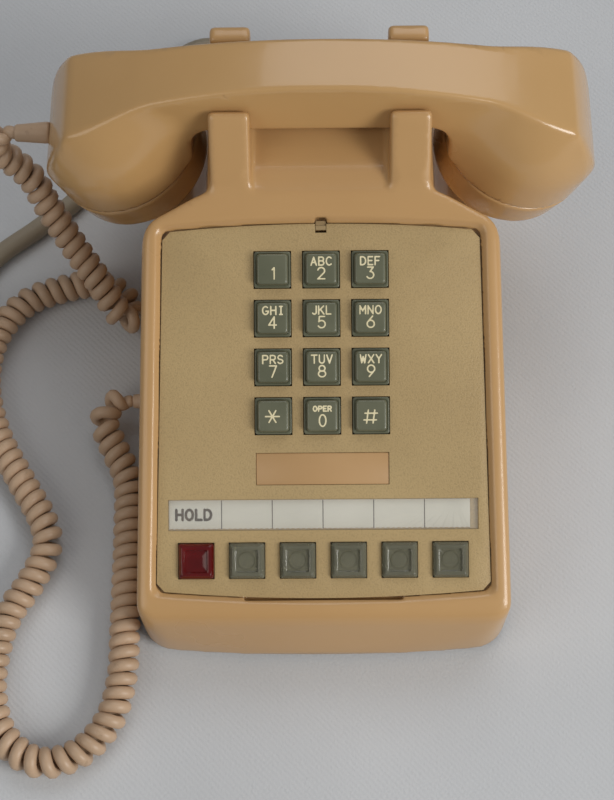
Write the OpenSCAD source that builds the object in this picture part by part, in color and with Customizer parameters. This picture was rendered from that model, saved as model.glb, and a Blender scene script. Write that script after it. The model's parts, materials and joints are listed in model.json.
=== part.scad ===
// Corded desk telephone with a push-button dial and six line keys.
// Millimetres, +Z up, +X to the user's right, the front faces -Y.
// The origin is on the table, under the middle of the telephone.

/* [Housing] */
// Thickness of the moulded housing
wall = 3; // [2.4:0.1:3.6]
// Height of the rubber feet
foot_h = 3.8; // [3:0.1:6]
// Height of the faceplate's front edge above the table
face_front_z = 39; // [37:0.5:48]
// Slope of the face, in degrees
face_slope = 21; // [18:0.5:24]
// Depth of the front rim, from the base's front edge to the faceplate
front_rim_d = 15; // [13:0.5:20]
// Width of the rim on each side of the faceplate
side_rim_w = 8; // [7:0.5:11]
// Height of the rim above the faceplate
rim_h = 2.2; // [1.5:0.1:3]
// Depth of the housing behind the faceplate's top edge
neck_d = 86.6; // [86:0.5:104]

/* [Faceplate] */
// Width of the faceplate at its front edge
plate_w = 130; // [128:1:156]
// How much each side of the faceplate draws in towards the top
plate_taper = 3; // [0:0.5:4]
// Length of the faceplate, along the slope
plate_len = 146; // [144:1:176]
// Thickness of the faceplate
plate_t = 2; // [1.6:0.1:2.4]
// Bow of the plate's front and top edges, and of the housing's front
plate_bow = 3; // [1:0.5:4]
// Clearance around the faceplate
plate_gap = 0.4; // [0.3:0.05:0.6]

/* [Dial] */
// Distance between neighbouring dial keys
key_pitch = 19.05; // [18:0.05:21]
// Width of a dial key's flange
key_w = 14.2; // [13:0.1:15.5]
// Width of a dial key's raised top
key_top_w = 12.2; // [10:0.1:12.4]
// Height of a dial key above the faceplate
key_h = 3.6; // [2:0.1:4.5]
// Travel of a dial key
key_travel = 3; // [2:0.1:3.5]
// Clearance around each key in the faceplate
key_gap = 0.3; // [0.25:0.05:0.5]

/* [Line keys] */
// Distance between neighbouring line keys
line_pitch = 19.8; // [18:0.1:20.8]
// Width of a line key
line_key_w = 13.6; // [12:0.1:14.4]
// Height of a line key above the faceplate
line_key_h = 2.4; // [1.5:0.1:4]
// Travel of a line key
line_travel = 4; // [2:0.1:4]

/* [Cradle] */
// Width of the neck, across the outer sides of the ears
neck_w = 86; // [72:1:88]
// Width of each ear
ear_w = 16; // [13:0.5:18]
// Height of the ears above the saddle that holds the handset
ear_h = 15.2; // [12:0.1:18]
// Clearance between the handset's grip and the ears
cradle_gap = 1; // [0.8:0.1:2]
// Diameter of a hook plunger
plunger_d = 7; // [6:0.1:8]
// Travel of the hook plungers
hook_travel = 6; // [4:0.5:6.5]

/* [Handset] */
// Length of the handset
handset_len = 226; // [218:1:272]
// Diameter of the two cups
cup_d = 65; // [60:1:66]
// Tilt of each cap's face towards the middle, in degrees
cap_tilt = 19; // [15:1:20]
// Width of the grip
grip_w = 28; // [23:1:34]
// Thickness of the grip in the middle
grip_t = 25; // [22:0.5:30]
// Radius of the arched top of the grip
grip_arch_r = 240; // [220:5:320]
// Wall of the handset and its caps
handset_wall = 3; // [2.4:0.1:3.4]
// Depth of a cap below the seam
cap_d = 18; // [15:0.5:19]

/* [Ringer] */
// Diameter of a gong
gong_d = 50; // [42:1:52]
// Diameter of the volume wheel
wheel_d = 26; // [24:0.5:27]

/* [Cords] */
// Outer diameter of the coiled handset cord
curl_d = 13; // [11:0.5:13.2]
// Diameter of the line cable
cable_d = 8.8; // [7.4:0.1:9.2]
// Mean diameter of the wound line cable
wound_d = 100; // [88:1:106]

/* [Hidden] */
$fn = 64;
EPS = 0.05;
cosf = cos(face_slope);
sinf = sin(face_slope);

// Places along the depth: the whole outline is centred on Y = 0
total_d = front_rim_d + plate_len * cosf + neck_d;
front_y = -total_d / 2;
rear_y = total_d / 2;
plate_y = front_y + front_rim_d;
crown_y = plate_y + plate_len * cosf;
crown_z = face_front_z + plate_len * sinf;

// Housing: half width at a height, and the draft of its sides
side_draft = plate_taper / (plate_len * sinf);
base_draft = 0.03;
function half_w(z) = plate_w / 2 + side_rim_w
    + (face_front_z - z) * (z < face_front_z ? base_draft : side_draft);
function rim_z(y) = face_front_z + (y - plate_y) * tan(face_slope) + rim_h / cosf;
front_corner_r = 14;
rear_corner_r = 18;
front_draft = 5.5;
deck_z = 38;

// Cradle
cradle_y = crown_y + 49.1;
grip_z = crown_z + 14.6;
saddle_z = grip_z - 0.5;
valley_z = crown_z + 8.6;
ear_top_z = saddle_z + ear_h;
ear_x = neck_w / 2 - ear_w;
trough = grip_w / 2 + cradle_gap;
plunger_x = neck_w / 2 - ear_w / 2;
plunger_fit = 0.08;

// Heights inside the base
plate_z = foot_h;
base_t = 1.5;
floor_z = plate_z + base_t;
floor_gap = 0.1;

// Base screws, feet and cord holes
screw_r = 1.9;
screw_fit = 0.1;
screw_spots = [[0, front_y + 10], [0, rear_y - 11]];
foot_spots = [for (x = [-1, 1], y = [-1, 1]) [x * (plate_w / 2 - 11), y * (total_d / 2 - 22)]];
foot_r = 8;
foot_stud_r = 2.5;
handset_cord_y = plate_y + 94;
handset_cord_z = 13;
line_cable_x = -22;
line_cable_z = 14;
boot_fit = 0.15;
base_boot_r = 4;
cable_boot_r = 6.2;

// Hand-hold in the back of the neck
hold_w = 56;
hold_z = [crown_z - 29, crown_z - 2];
hold_depth = 24;
hold_wall = 2.4;

// Faceplate outline and what is let into it
plate_corner_r = 3;
dial_u = plate_len - 46.5;
key_hole_w = key_w + 2 * key_gap;
line_u = 14.7;
line_hole_w = line_key_w + 2 * key_gap;
badge_u = 50.3;
badge_w = 52;
badge_h = 12.6;
strip_u = 32.5;
strip_w = 121;
strip_h = 12.2;
let_in_gap = 0.15;
latch_w = 4;

// Dial
dial_half_w = 1.5 * key_pitch + 3;
dial_half_l = 2 * key_pitch + 3;
dial_top_h = -(2.5 + key_travel + 1);
guide_t = 2.5;
stem_w = 6;
stem_gap = 0.3;
stem_end_h = -14;
dial_wall_t = 2;
dial_end_h = -20.5;
board_t = 1.6;
tray_t = 1.5;
tray_h = dial_end_h - board_t - tray_t - 0.2;
KEY_NAMES = ["1", "2", "3", "4", "5", "6", "7", "8", "9", "star", "0", "pound"];

// Line keys
line_body_h = 10;
line_leg_t = 1.8;
line_leg_w = 6;
line_leg_end_h = -22;
line_recess_w = 8.6;
line_frame_top_h = -15.5;
line_frame_t = 1.5;
line_frame_end_h = -28.5;
line_frame_half_l = 9.5;
line_frame_half_w = 2.5 * line_pitch + 11.5;
lamp_r = 3;
lamp_top_h = -6.2;

// Bracket that carries the dial and the line keys
bracket_x = max(line_frame_half_w + 0.2, dial_half_w + 4);
bracket_t = 1.5;

// Hook switch
hook_pivot_y = cradle_y - 32;
hook_pivot_z = crown_z - 11.4;
hook_pin_r = 2;
hook_bar_r = 2;
hook_bar_gap = 0.4;
plunger_end_z = hook_pivot_z + hook_bar_r + hook_bar_gap;
hook_side_x = neck_w / 2 - wall - 3.5;
arm_x = hook_side_x - 4;
hook_plate_t = 1.5;
hook_foot_y = hook_pivot_y - 1;

// Ringer
gong_x = gong_d / 2 + 8;
gong_y = crown_y + 43;
gong_z = 27;
gong_h = 14;
gong_t = 1.6;
clapper_y = gong_y - 29;
clapper_z = gong_z + 2.5;
ball_r = 3;
wheel_w = 5;
wheel_x = gong_x + gong_d / 2 + 4;
wheel_y = gong_y - 22;
wheel_z = wheel_d / 2 + 0.8;
wheel_pin_r = 2;
running_fit = 0.08;

// Handset
cup_r = cup_d / 2;
cup_x = handset_len / 2 - cup_r;
handset_top_z = grip_z + grip_t;
seam_z = grip_z - 33.5;
dome_z = grip_z - 20;
spigot_r = cup_r - handset_wall + 0.1;
spigot_d = 6;
cap_fit = 0.1;
unit_r = 23;
boot_z = dome_z - 5;
boot_x = handset_len / 2 - 1;
boot_r = 4.4;
boot_len = 13;
dome_d = 13;
end_r = 90;

// Route of the coiled handset cord, from the handset's boot to the base
CURL_PATH = [
    [-125.1, 81.5, 81], [-129.5, 81.5, 81], [-134, 81, 77], [-134.5, 80, 70], [-129, 79, 62.5],
    [-122, 75, 55], [-117, 68, 46],
    [-107, 55, 34], [-96, 41, 24.5], [-88, 30, 15], [-83, 32, 8], [-88, 43, 6.6], [-99, 49, 6.6],
    [-114, 47, 6.6], [-131, 40, 6.6], [-143, 24, 6.6], [-146, 2, 6.6], [-140, -21, 6.6],
    [-128, -43, 6.6], [-118, -60, 6.6], [-115, -73, 6.6], [-121, -88, 6.6], [-129, -101, 6.6],
    [-133, -115, 6.6], [-134, -133, 6.6], [-128, -151, 6.6], [-114, -161, 6.6], [-98, -158, 6.6],
    [-86, -145, 6.6], [-81.5, -127, 6.6], [-81.2, -108, 6.6], [-81.2, -88, 6.6], [-81.4, -66, 6.6],
    [-82.5, -44, 6.6], [-89, -29, 8], [-93, -19, 11], [-90, -11.5, 13], [-81.6, -10, 13]];
// Route of the line cable, from the back of the base to the wound part
CABLE_PATH = [
    [-22, 143.1, 14], [-22, 149, 14], [-24.5, 157, 10.8], [-31, 166, 6.8], [-42, 174, 4.6], [-57, 175, 4.6],
    [-71, 165, 4.6], [-80, 150, 4.6], [-89, 132, 4.6], [-99, 112, 4.6], [-112, 93, 4.6],
    [-129, 78, 4.6], [-146, 64, 4.6], [-155, 49, 4.6], [-158.2, 30, 4.6], [-158.2, 12, 4.6]];
wound_centre = [-226, 10];
wound_layers = 2;
wound_rows = 3;
plug_at = [-266, 104];

// ---------- shared shapes ----------

function arc(c, r, a0, a1, n = 8) =
    [for (i = [0:n]) let (a = a0 + (a1 - a0) * i / n) c + r * [cos(a), sin(a)]];

// A frame on the faceplate: X across, Y up the slope, Z out of the face
module on_face(u = 0, x = 0, h = 0)
    translate([0, plate_y, face_front_z]) rotate([face_slope, 0, 0]) translate([x, u, h]) children();

// Extrudes a Y-Z outline along X, centred
module along_x(w) rotate([90, 0, 90]) translate([0, 0, -w / 2]) linear_extrude(w) children();

// Extrudes an X-Z outline along Y, from y0 to y1
module along_y(y0, y1) translate([0, y1, 0]) rotate([90, 0, 0]) linear_extrude(y1 - y0) children();

module box(w, l, h) translate([-w / 2, -l / 2, 0]) cube([w, l, h]);

module both_sides() for (s = [0, 1]) mirror([s, 0, 0]) children();

// A tube with a flat-sided section along a list of points
module swept_tube(path, d, sides) {
    n = len(path);
    function dir(i) = let (a = path[max(i - 1, 0)], b = path[min(i + 1, n - 1)]) (b - a) / norm(b - a);
    function across(t) = let (c = cross([0, 0, 1], t)) norm(c) < 0.2 ? [1, 0, 0] : c / norm(c);
    rings = [for (i = [0:n - 1]) let (t = dir(i), a = across(t), b = cross(t, a))
        for (k = [0:sides - 1]) path[i] + d / 2 * (cos(360 * k / sides) * a + sin(360 * k / sides) * b)];
    sides_f = [for (i = [0:n - 2], k = [0:sides - 1]) let (k1 = (k + 1) % sides)
        each [[i * sides + k, (i + 1) * sides + k, i * sides + k1],
              [i * sides + k1, (i + 1) * sides + k, (i + 1) * sides + k1]]];
    start_f = [[for (k = [0:sides - 1]) k]];
    end_f = [[for (k = [0:sides - 1]) (n - 1) * sides + sides - 1 - k]];
    polyhedron(rings, concat(sides_f, start_f, end_f));
}

// ---------- base ----------

// The bowed front edge with its two rounded corners, from left to right
function front_edge(w) = let (r = front_corner_r, e = w - r, b = (e * e + plate_bow * plate_bow) / (2 * plate_bow))
    [each arc([r - w, front_y + plate_bow + r], r, 180, 265, 8),
     for (i = [-6:6]) let (x = e * i / 6) [x, front_y + b - sqrt(b * b - x * x)],
     each arc([w - r, front_y + plate_bow + r], r, 275, 360, 8)];

module base_outline(inset) offset(delta = -inset) polygon([each front_edge(half_w(0)),
    each arc([half_w(0) - rear_corner_r, rear_y - rear_corner_r], rear_corner_r, 0, 90, 10),
    each arc([rear_corner_r - half_w(0), rear_y - rear_corner_r], rear_corner_r, 90, 180, 10)]);

module base_plate() color("silver") difference() {
    translate([0, 0, plate_z]) linear_extrude(base_t) base_outline(wall + 0.8);
    for (p = screw_spots) translate([p[0], p[1], plate_z - 1]) cylinder(r = screw_r + 0.3, h = 4);
    for (p = foot_spots) translate([p[0], p[1], plate_z - 1]) cylinder(r = foot_stud_r + screw_fit, h = 4);
    translate([wheel_x, wheel_y, plate_z - 1]) box(wheel_w + 2.4, wheel_d - 4, 4);
}

module base_feet() color("dimgray") for (p = foot_spots) translate([p[0], p[1], 0]) {
    cylinder(r = foot_r, h = foot_h - EPS);
    cylinder(r = foot_stud_r, h = foot_h + base_t + 2);
    translate([0, 0, floor_z + 0.3]) cylinder(r = foot_stud_r + 0.9, h = 1.6);
}

// ---------- housing ----------

// Side view of the front part, under the sloping face
module front_side_view() {
    rim_front = plate_y - 3.2;
    polygon(concat(
        [[front_y, foot_h], [front_y + front_draft, rim_z(rim_front) - 8]],
        [[front_y + front_draft + 1, rim_z(rim_front) - 4], [front_y + front_draft + 3.2, rim_z(rim_front) - 1.4]],
        [[rim_front, rim_z(rim_front)], [crown_y + 3.6, rim_z(crown_y + 3.6)]],
        [[crown_y + 7.5, rim_z(crown_y + 3.6) + 2.2], [crown_y + 12, valley_z - 0.4]],
        [[crown_y + 13.5, valley_z - 30], [crown_y + 16, foot_h]]));
}

// Plan of the front part: rounded front corners, shoulders drawn in to the neck
module front_plan() {
    w = half_w(0);
    shoulder = half_w(crown_z);
    polygon([each front_edge(w), [w, crown_y - 12], each arc([shoulder - 10, crown_y - 6], 10, 8, 66, 6),
        [neck_w / 2 + 0.4, crown_y + 13], [neck_w / 2, crown_y + 17],
        [-neck_w / 2, crown_y + 17], [-neck_w / 2 - 0.4, crown_y + 13],
        each arc([10 - shoulder, crown_y - 6], 10, 114, 172, 6), [-w, crown_y - 12]]);
}

// Front view of the tapering sides, up to the shoulders
module front_front_view() {
    heights = [foot_h, face_front_z, valley_z + 5];
    polygon([for (z = heights) [half_w(z), z], for (i = [2:-1:0]) [-half_w(heights[i]), heights[i]]]);
}

// Side view of the neck and the rear deck
module neck_side_view() polygon(concat(
    [[crown_y - 16, foot_h], [crown_y - 16, crown_z - 14], [crown_y + 8, valley_z - 3]],
    [[crown_y + 19, valley_z], [cradle_y + trough + 1, valley_z], [cradle_y + trough + 9, valley_z]],
    arc([rear_y - 18, valley_z - 12], 9, 70, 8, 5),
    [[rear_y - 4, deck_z + 16], [rear_y - 1, foot_h + 20], [rear_y, foot_h]]));

// Front view of the neck, flaring out to the deck below the handset's cups
module neck_front_view() {
    n = neck_w / 2;
    side = [[half_w(foot_h), foot_h], [half_w(deck_z - 6), deck_z - 6],
        [half_w(deck_z) - 2, deck_z], [n + 20, deck_z + 6.5], [n + 11, deck_z + 12.5],
        [n + 5, deck_z + 20], [n + 2.4, deck_z + 29], [n + 1.8, valley_z - 14], [n, valley_z + 22]];
    polygon([each side, for (i = [len(side) - 1:-1:0]) [-side[i][0], side[i][1]]]);
}

module front_body(inset) intersection() {
    along_x(2 * half_w(0)) offset(delta = -inset) front_side_view();
    translate([0, 0, -1]) linear_extrude(valley_z + 30) offset(delta = -inset) front_plan();
    along_y(front_y - 1, crown_y + 30) offset(delta = -inset) front_front_view();
}

module neck_body(inset) intersection() {
    along_x(2 * half_w(0)) offset(delta = -inset) neck_side_view();
    translate([0, 0, -1]) linear_extrude(valley_z + 30) base_outline(inset);
    along_y(crown_y - 20, rear_y + 1) offset(delta = -inset) neck_front_view();
}

// Side view of one pair of ears with the saddle between them
module ear_side_view() {
    front_back_y = cradle_y - trough;
    rear_front_y = cradle_y + trough;
    polygon(concat(
        [[crown_y + 9, valley_z - 12], [crown_y + 11, valley_z - 1.5], [crown_y + 13.5, valley_z + 1.6]],
        arc([front_back_y - 2.2, ear_top_z - 2], 2, 135, 10, 5),
        [[front_back_y, saddle_z + 1], [front_back_y + 1, saddle_z]],
        [[rear_front_y - 1, saddle_z], [rear_front_y, saddle_z + 1]],
        arc([rear_front_y + 3, ear_top_z - 2.2], 2.2, 170, 90, 4),
        arc([rear_front_y + 6.4, ear_top_z - 2.2], 2.2, 90, 0, 4),
        [[rear_front_y + 9.5, valley_z], [rear_front_y + 9, valley_z - 12]]));
}

module ears() both_sides() translate([ear_x + ear_w / 2, 0, 0]) along_x(ear_w) ear_side_view();

// The hollow under the saddles, which the plungers pass through
module ear_hollow() both_sides() translate([ear_x + ear_w / 2, cradle_y, valley_z - wall - 1])
    box(ear_w - 2 * wall, 2 * trough - 8, saddle_z - valley_z + 1);

// Rebate and opening for the faceplate
module plate_outline(grow = 0) offset(delta = grow) {
    w0 = plate_w / 2;
    w1 = w0 - plate_taper;
    r = plate_corner_r;
    bow_r0 = (w0 * w0 + plate_bow * plate_bow) / (2 * plate_bow);
    bow_r1 = (w1 * w1 + plate_bow * plate_bow) / (2 * plate_bow);
    half0 = asin((w0 - r) / bow_r0);
    half1 = asin((w1 - r) / bow_r1);
    polygon(concat(
        arc([0, bow_r0], bow_r0, 270 - half0, 270 + half0, 16),
        [[w0, plate_bow + r], [w1, plate_len - plate_bow - r]],
        arc([0, plate_len - bow_r1], bow_r1, 90 - half1, 90 + half1, 16),
        [[-w1, plate_len - plate_bow - r], [-w0, plate_bow + r]]));
}

ledge_w = 3;
module face_ledge() intersection() {
    on_face(h = -plate_t - 3.2) linear_extrude(4) difference() {
        plate_outline(3.5);
        plate_outline(-ledge_w);
    }
    front_body(0);
}

module face_cut() {
    on_face(h = -plate_t - EPS) linear_extrude(20) plate_outline(plate_gap);
    on_face(h = rim_h - 1.2) linear_extrude(6) plate_outline(plate_gap + 1.2);
    on_face(h = -9) linear_extrude(12) plate_outline(-ledge_w);
}

module hold_box(grow) translate([0, rear_y - hold_depth - grow, hold_z[0] - grow])
    translate([-hold_w / 2 - grow, 0, 0])
        cube([hold_w + 2 * grow, hold_depth + 20, hold_z[1] - hold_z[0] + 2 * grow]);

module screw_bosses() {
    translate([screw_spots[0][0], screw_spots[0][1], floor_z + floor_gap]) cylinder(r = 4.5, h = 24);
    translate([screw_spots[1][0], screw_spots[1][1], floor_z + floor_gap]) cylinder(r = 4.5, h = 26);
    translate([screw_spots[1][0], screw_spots[1][1] + 5, floor_z + floor_gap]) box(3, 10, 26);
}

module housing() color("#c29a68") difference() {
    union() {
        difference() {
            union() {
                front_body(0);
                neck_body(0);
                ears();
            }
            front_body(wall);
            neck_body(wall);
            ear_hollow();
            translate([0, 0, foot_h - 1]) linear_extrude(wall + 1.5) base_outline(wall);
        }
        face_ledge();
        intersection() {
            union() {
                screw_bosses();
                hold_box(hold_wall);
            }
            union() {
                front_body(0.5);
                neck_body(0.5);
            }
        }
    }
    face_cut();
    hold_box(0);
    for (p = screw_spots) translate([p[0], p[1], 0]) cylinder(r = screw_r + screw_fit, h = 24);
    both_sides() translate([plunger_x, cradle_y, valley_z - 10])
        cylinder(r = plunger_d / 2 + plunger_fit, h = 30);
    translate([-half_w(0) - 10, handset_cord_y, handset_cord_z]) rotate([0, 90, 0])
        cylinder(r = base_boot_r + boot_fit, h = 20);
    translate([line_cable_x, rear_y + 10, line_cable_z]) rotate([90, 0, 0])
        cylinder(r = cable_boot_r + boot_fit, h = 20);
    on_face(u = plate_len + 1) translate([0, 0, -plate_t - 1]) box(latch_w + 0.6, 3, 2.6);
}

module housing_screws() color("gainsboro") for (p = screw_spots) translate([p[0], p[1], 0]) {
    translate([0, 0, 1]) cylinder(r = 3.6, h = plate_z - 1 - EPS);
    cylinder(r = screw_r, h = 20);
}

// ---------- faceplate ----------

function dial_spot(i) = [(i % 3 - 1) * key_pitch, dial_u + (1.5 - floor(i / 3)) * key_pitch];
function line_spot(i) = [(i - 2.5) * line_pitch, line_u];

module faceplate() color("#a8915c") difference() {
    on_face(h = -plate_t) linear_extrude(plate_t) plate_outline();
    for (i = [0:11]) on_face(dial_spot(i)[1], dial_spot(i)[0], -9) box(key_hole_w, key_hole_w, 20);
    for (i = [0:5]) on_face(line_spot(i)[1], line_spot(i)[0], -9) box(line_hole_w, line_hole_w, 20);
    on_face(badge_u, 0, -1) box(badge_w, badge_h, 5);
    on_face(strip_u, 0, -1.5) box(strip_w, strip_h, 5);
    on_face(plate_len - 1, 0, -9) box(latch_w + 0.4, 5, 20);
}

module faceplate_latch() color("#6e6044") {
    on_face(plate_len - 0.6, 0, -plate_t) box(latch_w, 3.6, 1.2);
    on_face(plate_len - 1.6, 0, -plate_t) box(latch_w, 1.6, 1.9);
}

module badge_plate() color("#b88a58")
    on_face(badge_u, 0, -1 + EPS) box(badge_w - 2 * let_in_gap, badge_h - 2 * let_in_gap, 0.6);

module designation_strip() color("#d8d4c2")
    on_face(strip_u + 0.1, -1.4, -1.5 + EPS) box(strip_w - 3.6, strip_h - 0.9, 0.3);

module strip_window() color("#e8e6da", 0.4)
    on_face(strip_u, 0, -1.1) box(strip_w - 2 * let_in_gap, strip_h - 2 * let_in_gap, 0.8);

// ---------- bracket, dial ----------

module set_bracket() color("lightgray") difference() {
    union() {
        intersection() {
            both_sides() translate([bracket_x + bracket_t / 2, 0, 0]) along_x(bracket_t) polygon([
                [plate_y + 16, floor_z + floor_gap], [crown_y - 2, floor_z + floor_gap],
                [crown_y - 2, 200], [plate_y + 16, 200]]);
            on_face(0, 0, tray_h - 200) box(400, 800, 200 + tray_t);
        }
        intersection() {
            on_face(dial_u, 0, tray_h) box(2 * bracket_x + 1, 2 * dial_half_l + 8, tray_t);
            along_x(400) translate([plate_y + 16, 0]) square([crown_y - plate_y - 18, 200]);
        }
        both_sides() translate([bracket_x - 1, (plate_y + crown_y) / 2, floor_z + floor_gap])
            box(4, 60, 1.5);
    }
    on_face(dial_u, 0, tray_h - 2) box(2 * dial_half_w - 12, 2 * dial_half_l - 20, 10);
}

module dial_frame() color("#3a3b38") difference() {
    on_face(dial_u, 0, dial_end_h) box(2 * dial_half_w, 2 * dial_half_l, dial_top_h - dial_end_h);
    on_face(dial_u, 0, dial_end_h - 1)
        box(2 * (dial_half_w - dial_wall_t), 2 * (dial_half_l - dial_wall_t), dial_top_h - dial_end_h - guide_t + 1);
    for (i = [0:11]) on_face(dial_spot(i)[1], dial_spot(i)[0], -40)
        box(stem_w + 2 * stem_gap, stem_w + 2 * stem_gap, 50);
}

module dial_board() color("#8a6a3a") difference() {
    on_face(dial_u, 0, dial_end_h - board_t - 0.1) box(2 * dial_half_w, 2 * dial_half_l, board_t);
    for (x = [-1, 1], y = [-1, 1]) on_face(dial_u + y * (dial_half_l - 4), x * (dial_half_w - 4), -60)
        cylinder(r = 1.6, h = 60);
}

// Contact rods that run across the dial between the rows of keys
module dial_springs() color("gold") {
    for (r = [0:4]) on_face(dial_u + (2 - r) * key_pitch * 0.98, 0, stem_end_h + 1)
        rotate([0, 90, 0]) cylinder(r = 0.8, h = 2 * (dial_half_w - dial_wall_t) - 0.4, center = true);
    for (r = [0:4]) on_face(dial_u + (2 - r) * key_pitch * 0.98, dial_half_w - 5, dial_end_h + EPS)
        box(5, 1.2, stem_end_h + 1 - dial_end_h);
}

module dial_key(i) color("#5d6454") difference() {
    on_face(dial_spot(i)[1], dial_spot(i)[0]) {
        translate([0, 0, -2.5]) box(key_w, key_w, 3);
        translate([0, 0, 0.4]) linear_extrude(key_h - 0.4) offset(r = 1.2) square(key_top_w - 2.4, center = true);
        translate([0, 0, stem_end_h]) box(stem_w, stem_w, -stem_end_h);
    }
    on_face(dial_spot(i)[1], dial_spot(i)[0], stem_end_h - 1) cylinder(r = 1.6, h = 9);
}

// ---------- line keys ----------

module line_key_frame() color("lightgray") difference() {
    on_face(line_u, 0, line_frame_end_h)
        box(2 * line_frame_half_w, 2 * line_frame_half_l, line_frame_top_h - line_frame_end_h);
    on_face(line_u, 0, line_frame_end_h - 1)
        box(2 * (line_frame_half_w - line_frame_t), 2 * (line_frame_half_l - line_frame_t),
            line_frame_top_h - line_frame_end_h - line_frame_t + 1);
    for (i = [0:5], s = [-1, 1])
        on_face(line_spot(i)[1], line_spot(i)[0] + s * (line_key_w - line_leg_t) / 2, -60)
            box(line_leg_t + 0.6, line_leg_w + 0.6, 60);
    for (i = [1:5]) on_face(line_spot(i)[1], line_spot(i)[0], -60) cylinder(r = lamp_r + 0.1, h = 60);
}

module line_key(i) difference() {
    on_face(line_spot(i)[1], line_spot(i)[0]) {
        translate([0, 0, line_key_h - line_body_h]) box(line_key_w, line_key_w, line_body_h);
        for (s = [-1, 1]) translate([s * (line_key_w - line_leg_t) / 2, 0, line_leg_end_h])
            box(line_leg_t, line_leg_w, line_key_h - 2 - line_leg_end_h);
    }
    on_face(line_spot(i)[1], line_spot(i)[0]) {
        translate([0, 0, line_key_h - 1.2]) box(line_recess_w, line_recess_w, 5);
        translate([0, 0, -30]) box(line_recess_w, line_recess_w, 30 + line_key_h - 3);
    }
}

module hold_key() color("#6e1414") line_key(0);

module line_lamps() color("#b8c4b4", 0.8) for (i = [1:5]) on_face(line_spot(i)[1], line_spot(i)[0]) {
    translate([0, 0, lamp_top_h - lamp_r - 16]) cylinder(r = lamp_r, h = 16);
    translate([0, 0, lamp_top_h - lamp_r]) sphere(r = lamp_r);
}

module latch_bar() color("silver") on_face(line_u + line_frame_half_l - 4, 0, line_frame_end_h + 3)
    box(2 * line_frame_half_w - 8, 3, 1.5);

// Spring pile-ups under each key
module line_contacts() color("goldenrod") for (i = [0:5]) {
    on_face(line_u - 0.5, line_spot(i)[0], line_frame_end_h - 6.2) box(9, 15, 2.4);
    for (k = [0:2]) on_face(line_u, line_spot(i)[0] + (k - 1) * 3, line_frame_end_h - 4) box(0.8, 12, 3.6);
}

// ---------- hook switch ----------

module hook_frame() color("lightgray") {
    both_sides() difference() {
        translate([hook_side_x - hook_plate_t / 2, 0, 0]) along_x(hook_plate_t) polygon([
            [hook_pivot_y - 6, floor_z + floor_gap], [hook_foot_y, floor_z + floor_gap],
            [hook_foot_y, gong_z + gong_h + 2], [hook_pivot_y + 6, gong_z + gong_h + 8],
            [hook_pivot_y + 6, hook_pivot_z + 5], [hook_pivot_y - 6, hook_pivot_z + 5]]);
        translate([hook_side_x - 10, hook_pivot_y, hook_pivot_z]) rotate([0, 90, 0])
            cylinder(r = hook_pin_r + 0.02, h = 20);
    }
    translate([0, hook_pivot_y - 5.2, crown_z - 50]) box(2 * hook_side_x - 1, 1.5, 38);
    translate([0, hook_pivot_y, hook_pivot_z]) rotate([0, 90, 0])
        cylinder(r = hook_pin_r, h = 2 * hook_side_x + 1, center = true);
}

module plunger() color("#d9d4c8", 0.9) {
    translate([plunger_x, cradle_y, plunger_end_z]) {
        cylinder(r = plunger_d / 2, h = saddle_z + 0.2 - plunger_end_z);
        cylinder(r = plunger_d / 2 + 1.2, h = saddle_z - wall - 1 - hook_travel - plunger_end_z);
    }
}

module hook_lever() color("silver") {
    both_sides() difference() {
        translate([arm_x, 0, 0]) along_x(hook_plate_t) polygon(concat(
            arc([hook_pivot_y, hook_pivot_z], 4.2, 90, 270, 8),
            [[cradle_y, hook_pivot_z - 3], [cradle_y + 3, hook_pivot_z], [cradle_y, hook_pivot_z + 1.6]]));
        translate([arm_x - 5, hook_pivot_y, hook_pivot_z]) rotate([0, 90, 0])
            cylinder(r = hook_pin_r + running_fit, h = 10);
    }
    translate([0, cradle_y, hook_pivot_z]) rotate([0, 90, 0])
        cylinder(r = hook_bar_r, h = 2 * min(plunger_x + 3, hook_side_x - 2), center = true);
}

module hook_contacts() color("goldenrod") {
    translate([0, hook_pivot_y + 8, hook_pivot_z - 22]) box(16, 24, 3);
    for (k = [-2:2]) translate([k * 3, hook_pivot_y + 10, hook_pivot_z - 19.5]) box(0.8, 22, 6);
    translate([0, hook_pivot_y - 1.3, hook_pivot_z - 22]) box(14, 6, 3);
}

// ---------- ringer ----------

module ringer_frame() color("silver") {
    difference() {
        union() {
            translate([0, gong_y - 24, floor_z + floor_gap]) box(2 * gong_x + 12, 78, 1.5);
            translate([gong_x, wheel_y - 4.5, floor_z + floor_gap]) cube([wheel_x - 4 - gong_x, 9, 1.5]);
        }
        translate([wheel_x, wheel_y, floor_z - 2]) box(wheel_w + 2.4, wheel_d, 8);
        translate([0, rear_y - 11, 0]) cylinder(r = 6, h = 20);
        both_sides() translate([hook_side_x - hook_plate_t / 2, hook_pivot_y - 3.5, floor_z - 1])
            box(hook_plate_t + 1.2, 7.4, 5);
    }
    both_sides() translate([gong_x, gong_y, floor_z + 1]) cylinder(r = 3, h = gong_z + gong_h - floor_z + 1);
    translate([0, clapper_y, floor_z + 1]) cylinder(r = 1.5, h = clapper_z + 4 - floor_z);
    translate([wheel_x - wheel_w / 2 - 2.6, wheel_y, floor_z + 1]) box(2.4, 9, wheel_z - floor_z + 3);
    translate([wheel_x - wheel_w / 2 - 2.6, wheel_y, wheel_z]) rotate([0, 90, 0])
        cylinder(r = wheel_pin_r, h = wheel_w + 3.4);
}

module ringer_coil() color("#8a3c20") translate([0, clapper_y - 24, floor_z + 17]) rotate([0, 90, 0]) {
    cylinder(r = 11, h = 34, center = true);
    cylinder(r = 4, h = 42, center = true);
    for (s = [-1, 1]) translate([0, 0, s * 18]) cylinder(r = 13, h = 2, center = true);
    for (s = [-1, 1]) translate([7.8, 0, s * 18]) cube([15, 8, 2], center = true);
}

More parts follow.
